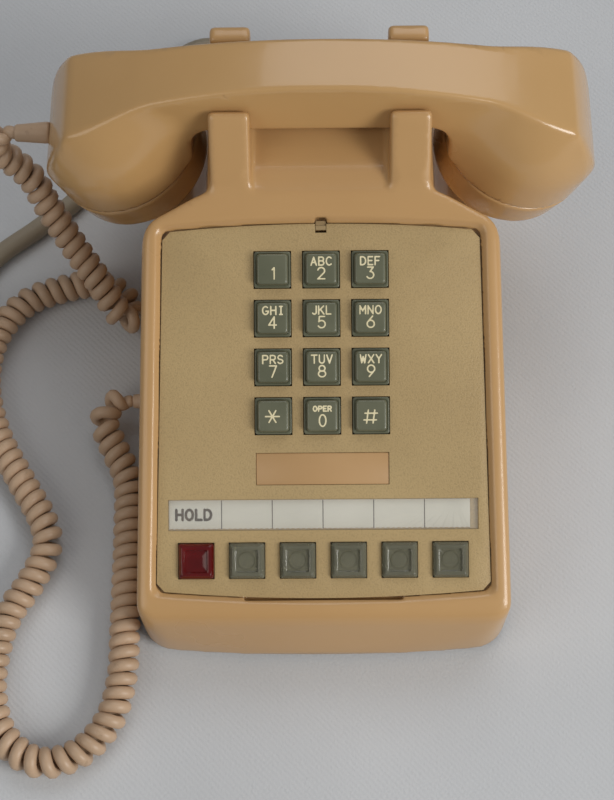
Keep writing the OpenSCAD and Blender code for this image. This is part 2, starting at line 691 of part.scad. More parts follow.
module gongs() color("#c8a050") both_sides() translate([gong_x, gong_y, gong_z]) rotate_extrude()
    difference() {
        polygon(concat([[3 + running_fit, gong_h]], arc([gong_d / 2 - 8, gong_h - 8], 8, 90, 0),
            [[gong_d / 2, 0], [gong_d / 2 - gong_t, 0]],
            arc([gong_d / 2 - 8, gong_h - 8], 8 - gong_t, 0, 90), [[3 + running_fit, gong_h - gong_t]]));
    }

module clapper() color("silver") difference() {
    union() {
        translate([0, clapper_y, clapper_z - 1.5]) cylinder(r = 3.6, h = 3);
        translate([0, clapper_y, clapper_z]) rotate([-90, 0, 0]) cylinder(r = 0.9, h = gong_y - clapper_y);
        translate([0, gong_y, clapper_z]) sphere(r = ball_r);
        translate([0, clapper_y - 5, clapper_z - 1.5]) box(16, 5, 3);
    }
    translate([0, clapper_y, clapper_z - 5]) cylinder(r = 1.5 + running_fit, h = 10);
}

module volume_wheel() color("#3c3c3a") translate([wheel_x, wheel_y, wheel_z]) rotate([0, 90, 0])
    difference() {
        cylinder(r = wheel_d / 2, h = wheel_w, center = true);
        cylinder(r = wheel_pin_r + running_fit, h = 20, center = true);
        for (k = [0:17]) rotate(k * 20) translate([wheel_d / 2, 0, 0]) cylinder(r = 0.9, h = 20, center = true);
    }

// ---------- network ----------

module network_block() color("#7c7f78") translate([-28, (plate_y + crown_y) / 2 + 8, floor_z + floor_gap]) {
    box(58, 62, 18);
    for (x = [-22, -11, 0, 11, 22], y = [-24, 24]) translate([x, y, 17]) cylinder(r = 2.6, h = 3);
}

module terminal_board() color("#9c7b48") translate([32, (plate_y + crown_y) / 2 + 8, floor_z + floor_gap]) {
    box(44, 62, 4);
    for (x = [-16, -8, 0, 8, 16], y = [-22:11:22]) translate([x, y, 3]) cylinder(r = 2.2, h = 3.6);
}

// ---------- handset ----------

function arch_z(x) = handset_top_z - grip_arch_r + sqrt(grip_arch_r * grip_arch_r - x * x);

// Front view of everything under the arched top and between the rounded ends
module arch_limit() intersection() {
    e = handset_len / 2;
    end_z = seam_z - 10;
    polygon([for (i = [-16:16]) [i / 16 * e, arch_z(i / 16 * e)], [e, 0], [-e, 0]]);
    polygon([[-e, 0], [e, 0], each arc([e - end_r, end_z], end_r, 0, 50, 14),
        each arc([end_r - e, end_z], end_r, 130, 180, 14)]);
}

module grip_view() {
    x = cup_x - cup_r + 3;
    polygon([for (i = [-12:12]) [i / 12 * (cup_x + 14), handset_top_z + 1],
        [cup_x + 14, grip_z - 10], [x + 12, grip_z - 16], each arc([x - 8, grip_z - 10], 10, 0, 90, 6),
        each arc([8 - x, grip_z - 10], 10, 90, 180, 6), [-x - 12, grip_z - 16], [-cup_x - 14, grip_z - 10]]);
}

// The tilted frame of a cap: origin at the seam, Z pointing down out of the cap
module cap_frame() translate([cup_x, cradle_y, seam_z]) rotate([0, 180 + cap_tilt, 0]) children();

module cup_solid(r) cap_frame() rotate_extrude()
    polygon([each arc([0, -dome_d], r, 270, 360, 12), [r, 20], [0, 20]]);

module handset_solid(inset) intersection() {
    along_y(cradle_y - cup_d, cradle_y + cup_d) offset(delta = -inset) arch_limit();
    union() {
        both_sides() cup_solid(cup_r - inset);
        along_y(cradle_y - grip_w / 2 + inset, cradle_y + grip_w / 2 - inset) offset(delta = -inset) grip_view();
    }
}

module handset_shell() color("#c29a68") difference() {
    union() {
        difference() {
            handset_solid(0);
            handset_solid(handset_wall);
            both_sides() cap_frame() box(2 * cup_d, 2 * cup_d, 60);
        }
        both_sides() cap_frame() difference() {
            union() {
                translate([0, 0, -5]) cylinder(r = cup_r - handset_wall / 2, h = 5);
                cylinder(r = spigot_r - cap_fit, h = spigot_d);
            }
            translate([0, 0, -6]) cylinder(r = spigot_r - 2.4, h = 30);
        }
    }
    translate([-handset_len / 2 - 10, cradle_y, boot_z]) rotate([0, 90, 0])
        cylinder(r = boot_r + boot_fit - 1.2, h = 20);
}

module cap_shell() difference() {
    rotate_extrude() polygon(concat(
        [[0, cap_d - 1.6], [cup_r - 14, cap_d - 1.6], [cup_r - 10, cap_d]],
        arc([cup_r - 7.5, cap_d - 6], 6, 90, 10, 6),
        [[cup_r, 2], [cup_r, EPS], [spigot_r, EPS], [spigot_r, cap_d - 4.2], [0, cap_d - 4.2]]));
    for (n = [[0, 0], [6, 6], [12, 11]])
        for (k = [0:max(n[0] - 1, 0)]) rotate(360 * k / max(n[0], 1)) translate([n[1], 0, 0])
            cylinder(r = 1.1, h = 30);
}

module ear_cap() color("#c29a68") cap_frame() cap_shell();

module mouth_cap() color("#c29a68") mirror([1, 0, 0]) cap_frame() cap_shell();

module receiver_unit() color("silver") cap_frame() translate([0, 0, -6.5]) {
    cylinder(r = unit_r, h = 13.5);
    cylinder(r = unit_r + 2.6, h = 3);
}

module transmitter_unit() color("silver") mirror([1, 0, 0]) cap_frame() translate([0, 0, -2]) {
    cylinder(r = unit_r - 1, h = 9.5);
    translate([0, 0, 6.5]) cylinder(r = unit_r + 1.5, h = 1.5);
}

module transmitter_cup() color("#4a4238") mirror([1, 0, 0]) cap_frame() translate([0, 0, -9]) difference() {
    cylinder(r = unit_r + 3, h = 12);
    translate([0, 0, 2]) cylinder(r = unit_r + 1, h = 20);
}

module handset_cord_boot() color("#8e6b4e") translate([-boot_x, cradle_y, boot_z]) rotate([0, -90, 0])
    difference() {
        union() {
            cylinder(r1 = boot_r, r2 = boot_r - 0.9, h = boot_len);
            translate([0, 0, -3.4]) cylinder(r = boot_r - 1.2, h = 5);
        }
        translate([0, 0, -10]) cylinder(r = 1.2, h = 8);
    }

// ---------- cords ----------

module handset_cord() color("#9a7656") swept_tube(CURL_PATH, curl_d, 8);

module base_cord_boot() color("#8e6b4e") translate([-half_w(handset_cord_z), handset_cord_y, handset_cord_z])
    rotate([0, -90, 0]) {
        translate([0, 0, -6]) cylinder(r = base_boot_r, h = 8);
        translate([0, 0, -6]) cylinder(r = base_boot_r + 1.4, h = 1.6);
        translate([0, 0, 1.4]) cylinder(r1 = base_boot_r - 0.4, r2 = base_boot_r - 1.2, h = 5.6);
    }

module line_cable() color("#6a6658") swept_tube(CABLE_PATH, cable_d, 10);

module line_cable_coil() color("#6a6658") translate([wound_centre[0], wound_centre[1], 0.1])
    rotate_extrude() translate([wound_d / 2 - wound_rows * cable_d / 2, 0])
        square([wound_rows * cable_d, wound_layers * cable_d]);

module line_cable_boot() color("#6a6658") translate([line_cable_x, rear_y, line_cable_z]) rotate([-90, 0, 0]) {
    translate([0, 0, -7]) cylinder(r = cable_boot_r, h = 9);
    translate([0, 0, -7]) cylinder(r = cable_boot_r + 2, h = 2);
    cylinder(r1 = cable_boot_r, r2 = cable_d / 2 + 0.5, h = 24);
}

module line_plug() color("#55534c") translate([plug_at[0], plug_at[1], 0.2]) {
    box(20, 62, 17);
    translate([0, -35, 3]) box(14, 10, 11);
    translate([-11.5, 0, 2]) box(5, 70, 13);
}

// ---------- what is drawn ----------

base_plate();
base_feet();
housing();
housing_screws();
faceplate();
faceplate_latch();
badge_plate();
designation_strip();
strip_window();
set_bracket();
dial_frame();
dial_board();
dial_springs();
for (i = [0:11]) dial_key(i);
line_key_frame();
hold_key();
for (i = [1:5]) color("#8c9486", 0.7) line_key(i);
line_lamps();
latch_bar();
line_contacts();
hook_frame();
mirror([1, 0, 0]) plunger();  // hook_plunger_left
plunger();  // hook_plunger_right
hook_lever();
hook_contacts();
ringer_frame();
ringer_coil();
gongs();
clapper();
volume_wheel();
network_block();
terminal_board();
handset_shell();
ear_cap();
mouth_cap();
receiver_unit();
transmitter_unit();
transmitter_cup();
handset_cord_boot();
handset_cord();
base_cord_boot();
line_cable();
line_cable_coil();
line_cable_boot();
line_plug();
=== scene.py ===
"""Corded desk telephone with a push-button dial and six line keys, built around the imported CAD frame."""
import json
import math
import bpy
import bmesh
import numpy as np
import openvdb as vdb
from mathutils import Matrix, Vector

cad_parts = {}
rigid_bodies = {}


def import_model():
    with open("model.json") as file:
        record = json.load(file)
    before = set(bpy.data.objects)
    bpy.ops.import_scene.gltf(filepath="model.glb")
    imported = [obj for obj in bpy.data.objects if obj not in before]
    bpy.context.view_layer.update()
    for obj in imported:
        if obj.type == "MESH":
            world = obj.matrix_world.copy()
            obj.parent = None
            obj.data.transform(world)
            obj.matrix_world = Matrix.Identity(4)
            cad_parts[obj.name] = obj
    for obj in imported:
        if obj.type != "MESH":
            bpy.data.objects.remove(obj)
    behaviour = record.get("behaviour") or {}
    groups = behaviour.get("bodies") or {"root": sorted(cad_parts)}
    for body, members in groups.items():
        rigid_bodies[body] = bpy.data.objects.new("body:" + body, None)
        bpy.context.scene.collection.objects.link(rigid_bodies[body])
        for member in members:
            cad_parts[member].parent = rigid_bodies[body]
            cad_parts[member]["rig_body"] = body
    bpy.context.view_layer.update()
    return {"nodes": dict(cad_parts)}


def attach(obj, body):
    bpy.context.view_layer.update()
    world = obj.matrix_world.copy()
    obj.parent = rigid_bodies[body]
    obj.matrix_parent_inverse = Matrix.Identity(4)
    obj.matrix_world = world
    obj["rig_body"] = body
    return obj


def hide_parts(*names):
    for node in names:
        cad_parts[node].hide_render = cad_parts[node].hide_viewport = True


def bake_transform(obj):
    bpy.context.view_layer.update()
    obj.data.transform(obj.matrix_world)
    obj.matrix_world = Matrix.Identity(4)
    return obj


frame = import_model()
NODES = frame["nodes"]
MM = 0.001

# ------------------------ sizes, as in the CAD source (mm)
SLOPE = math.radians(21)
COS, SIN = math.cos(SLOPE), math.sin(SLOPE)
WALL, FOOT_H, DRAFT = 3.0, 3.8, 0.03
PLATE_W, PLATE_TAPER, PLATE_LEN, PLATE_T, PLATE_BOW = 130.0, 3.0, 146.0, 2.0, 3.0
SIDE_RIM, RIM_H = 8.0, 2.2
FACE_Z = 39.0
FRONT_RIM_D, NECK_D = 15, 86.6
TOTAL_D = FRONT_RIM_D + PLATE_LEN * COS + NECK_D
FRONT_Y, REAR_Y = -TOTAL_D / 2, TOTAL_D / 2
PLATE_Y = FRONT_Y + FRONT_RIM_D
CROWN_Y, CROWN_Z = PLATE_Y + PLATE_LEN * COS, FACE_Z + PLATE_LEN * SIN
CRADLE_Y, GRIP_Z = CROWN_Y + 49.1, CROWN_Z + 14.6
SADDLE_Z, VALLEY_Z = GRIP_Z - 0.5, CROWN_Z + 8.6
EAR_TOP = SADDLE_Z + 15.2
NECK_W, EAR_W, TROUGH = 86.0, 16.0, 15.0
DECK_Z = 38.0
CUP_R, CUP_X, DOME_DEPTH, ARCH_R = 32.5, 80.5, 13, 240
TOP_Z, SEAM_Z, DOME_Z = GRIP_Z + 25, GRIP_Z - 33.5, GRIP_Z - 20
CAP_TILT = math.radians(19)
KEY_PITCH, LINE_PITCH = 19.05, 19.8
DIAL_U, LINE_U, STRIP_U = PLATE_LEN - 46.5, 14.7, 32.5


def half_w(z):
    """Half the housing's width at a height: a slight draft below the face, the plate's taper above it."""
    lean = np.where(np.asarray(z) < FACE_Z, DRAFT, PLATE_TAPER / (PLATE_LEN * SIN))
    return PLATE_W / 2 + SIDE_RIM + (FACE_Z - z) * lean


def rim_z(y):
    """Height of the rim round the faceplate."""
    return FACE_Z + (y - PLATE_Y) * math.tan(SLOPE) + RIM_H / COS


def add(name, data):
    """A new object in the scene."""
    obj = bpy.data.objects.new(name, data)
    bpy.context.scene.collection.objects.link(obj)
    return obj


# ------------------------ camera
PAN, TILT, ROLL, REACH = math.radians(-1.54), math.radians(67.81), math.radians(-1.89), 0.600
forward = Vector((math.sin(PAN) * math.cos(TILT), math.cos(PAN) * math.cos(TILT), -math.sin(TILT)))
level = Vector((math.cos(PAN), -math.sin(PAN), 0))
upward = level.cross(forward)
cam_x = level * math.cos(ROLL) + upward * math.sin(ROLL)
cam_y = -level * math.sin(ROLL) + upward * math.cos(ROLL)
camera = add("camera", bpy.data.cameras.new("camera"))
camera.data.sensor_fit = "HORIZONTAL"
camera.data.sensor_width = 36
camera.data.lens = 91.49
camera.data.clip_end = 20
place = Matrix((cam_x, cam_y, -forward)).transposed().to_4x4()
place.translation = Vector((-0.0058, -0.03525, 0.07472)) - forward * REACH
camera.matrix_world = place
bpy.context.scene.camera = camera


# ------------------------ mesh helpers
def make(name, verts, faces, material=None):
    """A smooth mesh object from points in millimetres."""
    mesh = bpy.data.meshes.new(name)
    points = [tuple(float(c) * MM for c in v) for v in verts]
    mesh.from_pydata(points, [], [tuple(int(i) for i in f) for f in faces])
    mesh.validate()
    mesh.update()
    mesh.shade_smooth()
    if material:
        mesh.materials.append(material)
    return add(name, mesh)


def crisp(obj, degrees=32):
    """Smooth shading, with the sharp edges kept sharp."""
    mesh = obj.data
    mesh.shade_smooth()
    bm = bmesh.new()
    bm.from_mesh(mesh)
    for e in bm.edges:
        e.smooth = len(e.link_faces) == 2 and e.calc_face_angle(0) < math.radians(degrees)
    bm.to_mesh(mesh)
    bm.free()
    return obj


def join(name, parts):
    """Several objects made into one mesh."""
    bm = bmesh.new()
    slots = []
    for o in parts:
        start = len(bm.faces)
        o.data.transform(o.matrix_world)
        own = list(o.data.materials)
        bm.from_mesh(o.data)
        bm.faces.ensure_lookup_table()
        for f in bm.faces[start:]:
            m = own[f.material_index] if own else None
            if m not in slots:
                slots.append(m)
            f.material_index = slots.index(m)
    mesh = bpy.data.meshes.new(name)
    bm.to_mesh(mesh)
    bm.free()
    for m in slots:
        mesh.materials.append(m)
    for o in parts:
        bpy.data.objects.remove(o)
    return add(name, mesh)


def soften(name, node, width, material):
    """A copy of a CAD node with its sharp edges rounded."""
    bm = bmesh.new()
    bm.from_mesh(NODES[node].data)
    bmesh.ops.remove_doubles(bm, verts=bm.verts, dist=2e-6)
    bmesh.ops.dissolve_limit(bm, angle_limit=math.radians(0.6), verts=bm.verts, edges=bm.edges)
    sharp = [e for e in bm.edges if len(e.link_faces) == 2 and e.calc_face_angle(0) > math.radians(30)]
    bmesh.ops.bevel(bm, geom=sharp, offset=width * MM, offset_type="OFFSET", segments=2, profile=0.5,
                    affect="EDGES", clamp_overlap=True)
    bmesh.ops.triangulate(bm, faces=[f for f in bm.faces if len(f.verts) > 4])
    mesh = bpy.data.meshes.new(name)
    bm.to_mesh(mesh)
    bm.free()
    obj = add(name, mesh)
    mesh.materials.append(material)
    crisp(obj, 28)
    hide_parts(node)
    return obj


def loft(name, rings, material=None, capped=True):
    """Skins rings of equal count, and closes the first and the last."""
    n = len(rings[0])
    verts = [p for r in rings for p in r]
    faces = [(i * n + k, i * n + (k + 1) % n, (i + 1) * n + (k + 1) % n, (i + 1) * n + k)
             for i in range(len(rings) - 1) for k in range(n)]
    if capped:
        faces.append(tuple(range(n - 1, -1, -1)))
        faces.append(tuple((len(rings) - 1) * n + k for k in range(n)))
    return make(name, verts, faces, material)


def circle(n):
    """Angles all the way round."""
    return np.linspace(0, 2 * math.pi, n, endpoint=False)


def face_point(x, u, h):
    """Millimetres on the sloping face (across, up the slope, out of it) to the row frame."""
    return (x, PLATE_Y + u * COS - h * SIN, FACE_Z + u * SIN + h * COS)


def rounded_square(half, r, n=5, half_l=None):
    """The outline of a square, or of a rectangle if half_l is given, with rounded corners."""
    half_l = half if half_l is None else half_l
    return [(sx * (half - r) + r * math.cos(a), sy * (half_l - r) + r * math.sin(a))
            for sx, sy, a0 in ((1, 1, 0), (-1, 1, 90), (-1, -1, 180), (1, -1, 270))
            for a in [math.radians(a0 + 90 * k / n) for k in range(n + 1)]]


# ------------------------ solid fields: distance to a shape, negative inside
def polygon_field(px, py, points):
    """Signed distance to a closed outline."""
    best = np.full(px.shape, 1e9, np.float32)
    inside = np.zeros(px.shape, bool)
    for (ax, ay), (bx, by) in zip(points, points[1:] + points[:1]):
        ex, ey = bx - ax, by - ay
        wx, wy = px - ax, py - ay
        t = np.clip((wx * ex + wy * ey) / max(ex * ex + ey * ey, 1e-9), 0, 1)
        best = np.minimum(best, (wx - t * ex) ** 2 + (wy - t * ey) ** 2)
        if ay != by:
            inside ^= ((ay > py) != (by > py)) & (px < (bx - ax) * (py - ay) / (by - ay) + ax)
    return np.where(inside, -np.sqrt(best), np.sqrt(best)).astype(np.float32)


def both(a, b, r=0.0):
    """Where two shapes overlap, with a rounded edge."""
    if r <= 0:
        return np.maximum(a, b)
    return np.minimum(np.maximum(a, b), -r) + np.hypot(np.maximum(a + r, 0), np.maximum(b + r, 0))


def either(a, b, r=0.0):
    """Two shapes together, with a filleted corner."""
    if r <= 0:
        return np.minimum(a, b)
    return np.maximum(np.minimum(a, b), r) - np.hypot(np.maximum(r - a, 0), np.maximum(r - b, 0))


def brick(x, y, z, cx, cy, cz, hx, hy, hz, r=0.0):
    qx, qy, qz = np.abs(x - cx) - hx + r, np.abs(y - cy) - hy + r, np.abs(z - cz) - hz + r
    out = np.sqrt(np.maximum(qx, 0) ** 2 + np.maximum(qy, 0) ** 2 + np.maximum(qz, 0) ** 2)
    return out + np.minimum(np.maximum(qx, np.maximum(qy, qz)), 0) - r


def blur(f, times):
    """Softens every edge of a field a little."""
    for _ in range(times):
        for axis in range(3):
            g = np.swapaxes(f, 0, axis)
            g = np.concatenate((g[:1], (g[:-2] + 2 * g[1:-1] + g[2:]) / 4, g[-1:]))
            f = np.swapaxes(g, 0, axis)
    return f


def axes(lo, hi, step):
    x, y, z = (np.arange(lo[i], hi[i] + step, step, dtype=np.float32) for i in range(3))
    return x[:, None, None], y[None, :, None], z[None, None, :]


def sample(f, p):
    """Values of a field between its grid points."""
    top = np.array(f.shape) - 1.001
    p = np.clip(p, 0, top)
    i = p.astype(int)
    t = p - i
    out = 0
    for corner in np.ndindex(2, 2, 2):
        w = np.where(corner, t, 1 - t)
        at = i + corner
        out = out + w[:, 0] * w[:, 1] * w[:, 2] * f[at[:, 0], at[:, 1], at[:, 2]]
    return out


def gradient(f, p, reach):
    """How much a field changes across each point, along each axis."""
    return np.stack([sample(f, p + reach * way) - sample(f, p - reach * way) for way in np.eye(3)], 1)


def skin(name, field, lo, step, material=None, adapt=0.03, to_world=None):
    """The surface of a field as a mesh, with normals from the field."""
    band = 3 * step
    grid = vdb.FloatGrid(band)
    grid.gridClass = vdb.GridClass.LEVEL_SET
    grid.copyFromArray(np.clip(field, -band, band).astype(np.float32))
    points, tris, quads = grid.convertToPolygons(isovalue=0.0, adaptivity=adapt)
    points = np.asarray(points, float)
    for _ in range(2):
        g = gradient(field, points, 0.5)
        size = np.maximum((g ** 2).sum(1), (0.3 * step) ** 2)
        move = -(sample(field, points) / size)[:, None] * g
        points = points + np.clip(move, -0.5, 0.5)
    g = gradient(field, points, 0.7)
    normals = g / np.maximum(np.linalg.norm(g, axis=1), 1e-9)[:, None]
    faces = [tuple(f) for f in tris] + [tuple(f) for f in quads]
    some = faces[:400]
    a, b, c = (points[[f[k] for f in some]] for k in range(3))
    if (np.cross(b - a, c - a) * normals[[f[0] for f in some]]).sum() < 0:
        faces = [f[::-1] for f in faces]
    spots = np.array(lo) + step * points
    if to_world is not None:
        m = np.array(to_world)
        spots = spots @ m[:3, :3].T + m[:3, 3]
        normals = normals @ m[:3, :3].T
    obj = make(name, spots, faces, material)
    if len(obj.data.vertices) == len(normals):
        obj.data.normals_split_custom_set_from_vertices([tuple(n) for n in normals])
    return obj


# ------------------------ materials
def rgb(r, g, b):
    """A colour given in screen values, 0 to 255."""
    return tuple(((c / 255 + 0.055) / 1.055) ** 2.4 if c > 10 else c / 255 / 12.92 for c in (r, g, b)) + (1.0,)


def finish_of(name, dark, light, rough=(0.3, 0.45), grain=300.0, bump=0.05, bump_size=0.0003, blotch=12.0,
              metal=0.0, spec=0.5, coat=0.0, pit_shade=0.0, dirt=None, transmission=0.0, alpha=1.0, scratch=0.0,
              weave=0.0):
    """A material with a varied colour and gloss, fine relief, and optional painted shade in the hollows of the fine
    relief, dirt, scratches and weave.

    dirt is its colour, its scale, the noise value where it starts, and its strength."""
    m = bpy.data.materials.new(name)
    m.use_nodes = True
    nt = m.node_tree
    bsdf = nt.nodes["Principled BSDF"]
    new, link = nt.nodes.new, nt.links.new
    where = new("ShaderNodeTexCoord").outputs["Object"]

    def texture(kind, vector, **values):
        node = new(kind)
        link(vector, node.inputs["Vector"])
        for socket, value in values.items():
            node.inputs[socket].default_value = value
        return node

    def ramp(source, low, high, first, last):
        node = new("ShaderNodeValToRGB")
        start, stop = node.color_ramp.elements
        start.position, stop.position = low, high
        start.color, stop.color = first, last
        link(source.outputs["Fac"], node.inputs["Fac"])
        return node.outputs["Color"]

    def relief(source, strength, distance, under=None):
        node = new("ShaderNodeBump")
        node.inputs["Strength"].default_value = strength
        node.inputs["Distance"].default_value = distance
        link(source.outputs["Fac"], node.inputs["Height"])
        if under:
            link(under, node.inputs["Normal"])
        return node.outputs["Normal"]

    broad = texture("ShaderNodeTexNoise", where, Scale=blotch, Detail=5)
    colour = ramp(broad, 0.32, 0.68, dark, light)
    fine = texture("ShaderNodeTexNoise", where, Scale=grain, Detail=4)
    # painted shade: the colour is darkened where the fine relief dips, following the same noise as the bump
    if pit_shade:
        mix = new("ShaderNodeMix")
        mix.data_type, mix.blend_type = "RGBA", "MULTIPLY"
        mix.inputs["Factor"].default_value = 1.0
        link(colour, mix.inputs["A"])
        link(ramp(fine, 0.36, 0.5, (1 - pit_shade, 1 - pit_shade, 1 - pit_shade, 1), (1, 1, 1, 1)), mix.inputs["B"])
        colour = mix.outputs["Result"]
    if dirt:
        stain, scale, start, strength = dirt
        spots = texture("ShaderNodeTexNoise", where, Scale=scale, Detail=8, Roughness=0.7)
        mix = new("ShaderNodeMix")
        mix.data_type = "RGBA"
        mask = ramp(spots, start, start + 0.12, (0, 0, 0, 1), (strength, strength, strength, 1))
        link(mask, mix.inputs["Factor"])
        link(colour, mix.inputs["A"])
        mix.inputs["B"].default_value = stain
        colour = mix.outputs["Result"]
    link(colour, bsdf.inputs["Base Color"])
    gloss = new("ShaderNodeMapRange")
    gloss.inputs["To Min"].default_value, gloss.inputs["To Max"].default_value = rough
    gloss.inputs["From Min"].default_value, gloss.inputs["From Max"].default_value = 0.3, 0.7
    link(broad.outputs["Fac"], gloss.inputs["Value"])
    link(gloss.outputs["Result"], bsdf.inputs["Roughness"])
    normal = relief(fine, min(1.0, bump), bump_size)
    if scratch:
        stretch = new("ShaderNodeMapping")
        stretch.inputs["Scale"].default_value = (1.0, 14.0, 6.0)
        stretch.inputs["Rotation"].default_value = (0.4, 0.2, 0.7)
        link(where, stretch.inputs["Vector"])
        lines = texture("ShaderNodeTexNoise", stretch.outputs["Vector"], Scale=40, Detail=6)
        normal = relief(lines, scratch, 0.0002, normal)
    if weave:
        twill = texture("ShaderNodeTexWave", where, Scale=weave, Distortion=1.5, Detail=3)
        twill.bands_direction = "DIAGONAL"
        normal = relief(twill, 0.2, 0.0003, normal)
    link(normal, bsdf.inputs["Normal"])
    bsdf.inputs["Metallic"].default_value = metal
    bsdf.inputs["Specular IOR Level"].default_value = spec
    if coat:
        bsdf.inputs["Coat Weight"].default_value = coat
        bsdf.inputs["Coat Roughness"].default_value = 0.08
    if transmission:
        bsdf.inputs["Transmission Weight"].default_value = transmission
        bsdf.inputs["IOR"].default_value = 1.45
    if alpha < 1:
        bsdf.inputs["Alpha"].default_value = alpha
    m.diffuse_color = light
    return m


BEIGE = finish_of("beige_plastic", rgb(190, 149, 98), rgb(199, 158, 106), rough=(0.24, 0.34), grain=900,
                  bump=0.06, bump_size=0.0001, blotch=7, spec=0.5, coat=0.25,
                  dirt=(rgb(150, 112, 70), 60, 0.66, 0.35), scratch=0.05)
BEIGE_HAND = finish_of("beige_handset", rgb(193, 153, 100), rgb(202, 162, 109), rough=(0.2, 0.3), grain=900,
                       bump=0.05, bump_size=0.0001, blotch=9, spec=0.5, coat=0.35,
                       dirt=(rgb(152, 112, 70), 70, 0.68, 0.3), scratch=0.05)
# the pebbled plate gets painted shade in the pits of its fine relief
PEBBLE = finish_of("pebbled_plate", rgb(176, 150, 104), rgb(186, 160, 112), rough=(0.45, 0.6), grain=1500,
                   bump=0.5, bump_size=0.0004, blotch=18, pit_shade=0.12,
                   dirt=(rgb(140, 112, 68), 90, 0.64, 0.35))
TAN = finish_of("tan_badge", rgb(184, 146, 100), rgb(192, 154, 108), rough=(0.28, 0.4), grain=700, bump=0.05,
                blotch=25)
OLIVE = finish_of("key_olive", rgb(96, 98, 78), rgb(106, 107, 86), rough=(0.26, 0.4), grain=1200, bump=0.12,
                  bump_size=0.0001, blotch=60, coat=0.2, dirt=(rgb(128, 124, 98), 160, 0.68, 0.25))
CREAM = finish_of("legend_cream", rgb(226, 214, 172), rgb(238, 227, 188), rough=(0.35, 0.5), grain=900,
                  bump=0.05, blotch=90)
INK = finish_of("dark_ink", rgb(60, 48, 36), rgb(78, 62, 46), rough=(0.5, 0.7), grain=2000, bump=0.1,
                blotch=150)
PAPER = finish_of("paper", rgb(203, 199, 184), rgb(215, 211, 196), rough=(0.6, 0.75), grain=2600, bump=0.25,
                  bump_size=0.0001, blotch=35, dirt=(rgb(190, 180, 150), 120, 0.62, 0.4))
CLEAR_COVER = finish_of("clear_cover", rgb(235, 235, 228), rgb(245, 245, 240), rough=(0.06, 0.14), grain=500,
                        bump=0.03, blotch=30, alpha=0.12)
CLEAR_KEY = finish_of("clear_key", rgb(160, 158, 134), rgb(176, 173, 148), rough=(0.08, 0.2), grain=900,
                      bump=0.06, bump_size=0.0001, blotch=80, transmission=0.66)
RED_KEY = finish_of("red_key", rgb(96, 10, 8), rgb(120, 16, 12), rough=(0.08, 0.18), grain=900, bump=0.05,
                    bump_size=0.0001, blotch=80, transmission=0.35, coat=0.3)
PINK_CORD = finish_of("cord_vinyl", rgb(184, 156, 128), rgb(200, 170, 140), rough=(0.38, 0.52), grain=700,
                      bump=0.12, bump_size=0.0002, blotch=30, dirt=(rgb(120, 94, 70), 90, 0.6, 0.45))
GREY_CABLE = finish_of("cable_vinyl", rgb(138, 126, 106), rgb(152, 140, 120), rough=(0.4, 0.55), grain=600,
                       bump=0.12, bump_size=0.0002, blotch=20, dirt=(rgb(96, 90, 74), 70, 0.6, 0.4))
BLACK = finish_of("black_plastic", rgb(44, 43, 41), rgb(58, 57, 54), rough=(0.35, 0.5), grain=900, bump=0.15,
                  blotch=40)
PLUG_GREY = finish_of("plug_grey", rgb(84, 82, 76), rgb(98, 96, 88), rough=(0.4, 0.55), grain=900, bump=0.3,
                      blotch=40)
RUBBER = finish_of("rubber", rgb(52, 48, 44), rgb(68, 62, 56), rough=(0.65, 0.85), grain=700, bump=0.4,
                   blotch=50)
STEEL = finish_of("plated_steel", rgb(168, 168, 162), rgb(192, 192, 186), rough=(0.25, 0.42), grain=500,
                  bump=0.08, blotch=24, metal=1.0, dirt=(rgb(120, 112, 96), 60, 0.62, 0.4), scratch=0.1)
BRASS = finish_of("brass", rgb(176, 142, 72), rgb(200, 166, 92), rough=(0.22, 0.38), grain=500, bump=0.06,
                  blotch=30, metal=1.0)
COPPER = finish_of("wound_copper", rgb(134, 70, 40), rgb(160, 92, 56), rough=(0.3, 0.45), grain=900,
                   bump=0.4, blotch=60, metal=0.8)
BOARD = finish_of("phenolic_board", rgb(134, 96, 54), rgb(150, 110, 64), rough=(0.45, 0.6), grain=700,
                  bump=0.15, blotch=40)
POTTED = finish_of("potted_block", rgb(118, 122, 114), rgb(132, 136, 128), rough=(0.5, 0.65), grain=500,
                   bump=0.25, blotch=30)
IVORY = finish_of("ivory_nylon", rgb(212, 204, 184), rgb(224, 216, 196), rough=(0.3, 0.42), grain=900,
                  bump=0.06, blotch=60)
LAMP = finish_of("lamp_glass", rgb(196, 206, 190), rgb(212, 220, 204), rough=(0.05, 0.12), grain=400,
                 bump=0.03, blotch=80, transmission=0.6)
DARK_CUP = finish_of("dark_cup", rgb(72, 62, 52), rgb(88, 76, 64), rough=(0.5, 0.65), grain=700, bump=0.15,
                     blotch=50)
LATCH = finish_of("latch_brown", rgb(150, 126, 88), rgb(164, 140, 100), rough=(0.4, 0.5), grain=900,
                  bump=0.1, blotch=60)


# ------------------------ cords
def smooth_path(points, per=12):
    """A smooth curve through the route's points, as evenly spaced points."""
    p = np.array(points, float)
    p = np.vstack((2 * p[0] - p[1], p, 2 * p[-1] - p[-2]))
    out = []
    for i in range(1, len(p) - 2):
        for t in np.linspace(0, 1, per, endpoint=False):
            out.append(0.5 * (2 * p[i] + (p[i + 1] - p[i - 1]) * t
                              + (2 * p[i - 1] - 5 * p[i] + 4 * p[i + 1] - p[i + 2]) * t ** 2
                              + (3 * p[i] - p[i - 1] - 3 * p[i + 1] + p[i + 2]) * t ** 3))
    out.append(p[-2])
    return np.array(out)


def even(path, step):
    """The path at even steps, and the distance along it at each."""
    d = np.concatenate(([0], np.cumsum(np.linalg.norm(np.diff(path, axis=0), axis=1))))
    s = np.linspace(0, d[-1], max(2, int(round(d[-1] / step)) + 1))
    return np.stack([np.interp(s, d, path[:, k]) for k in range(3)], 1), s


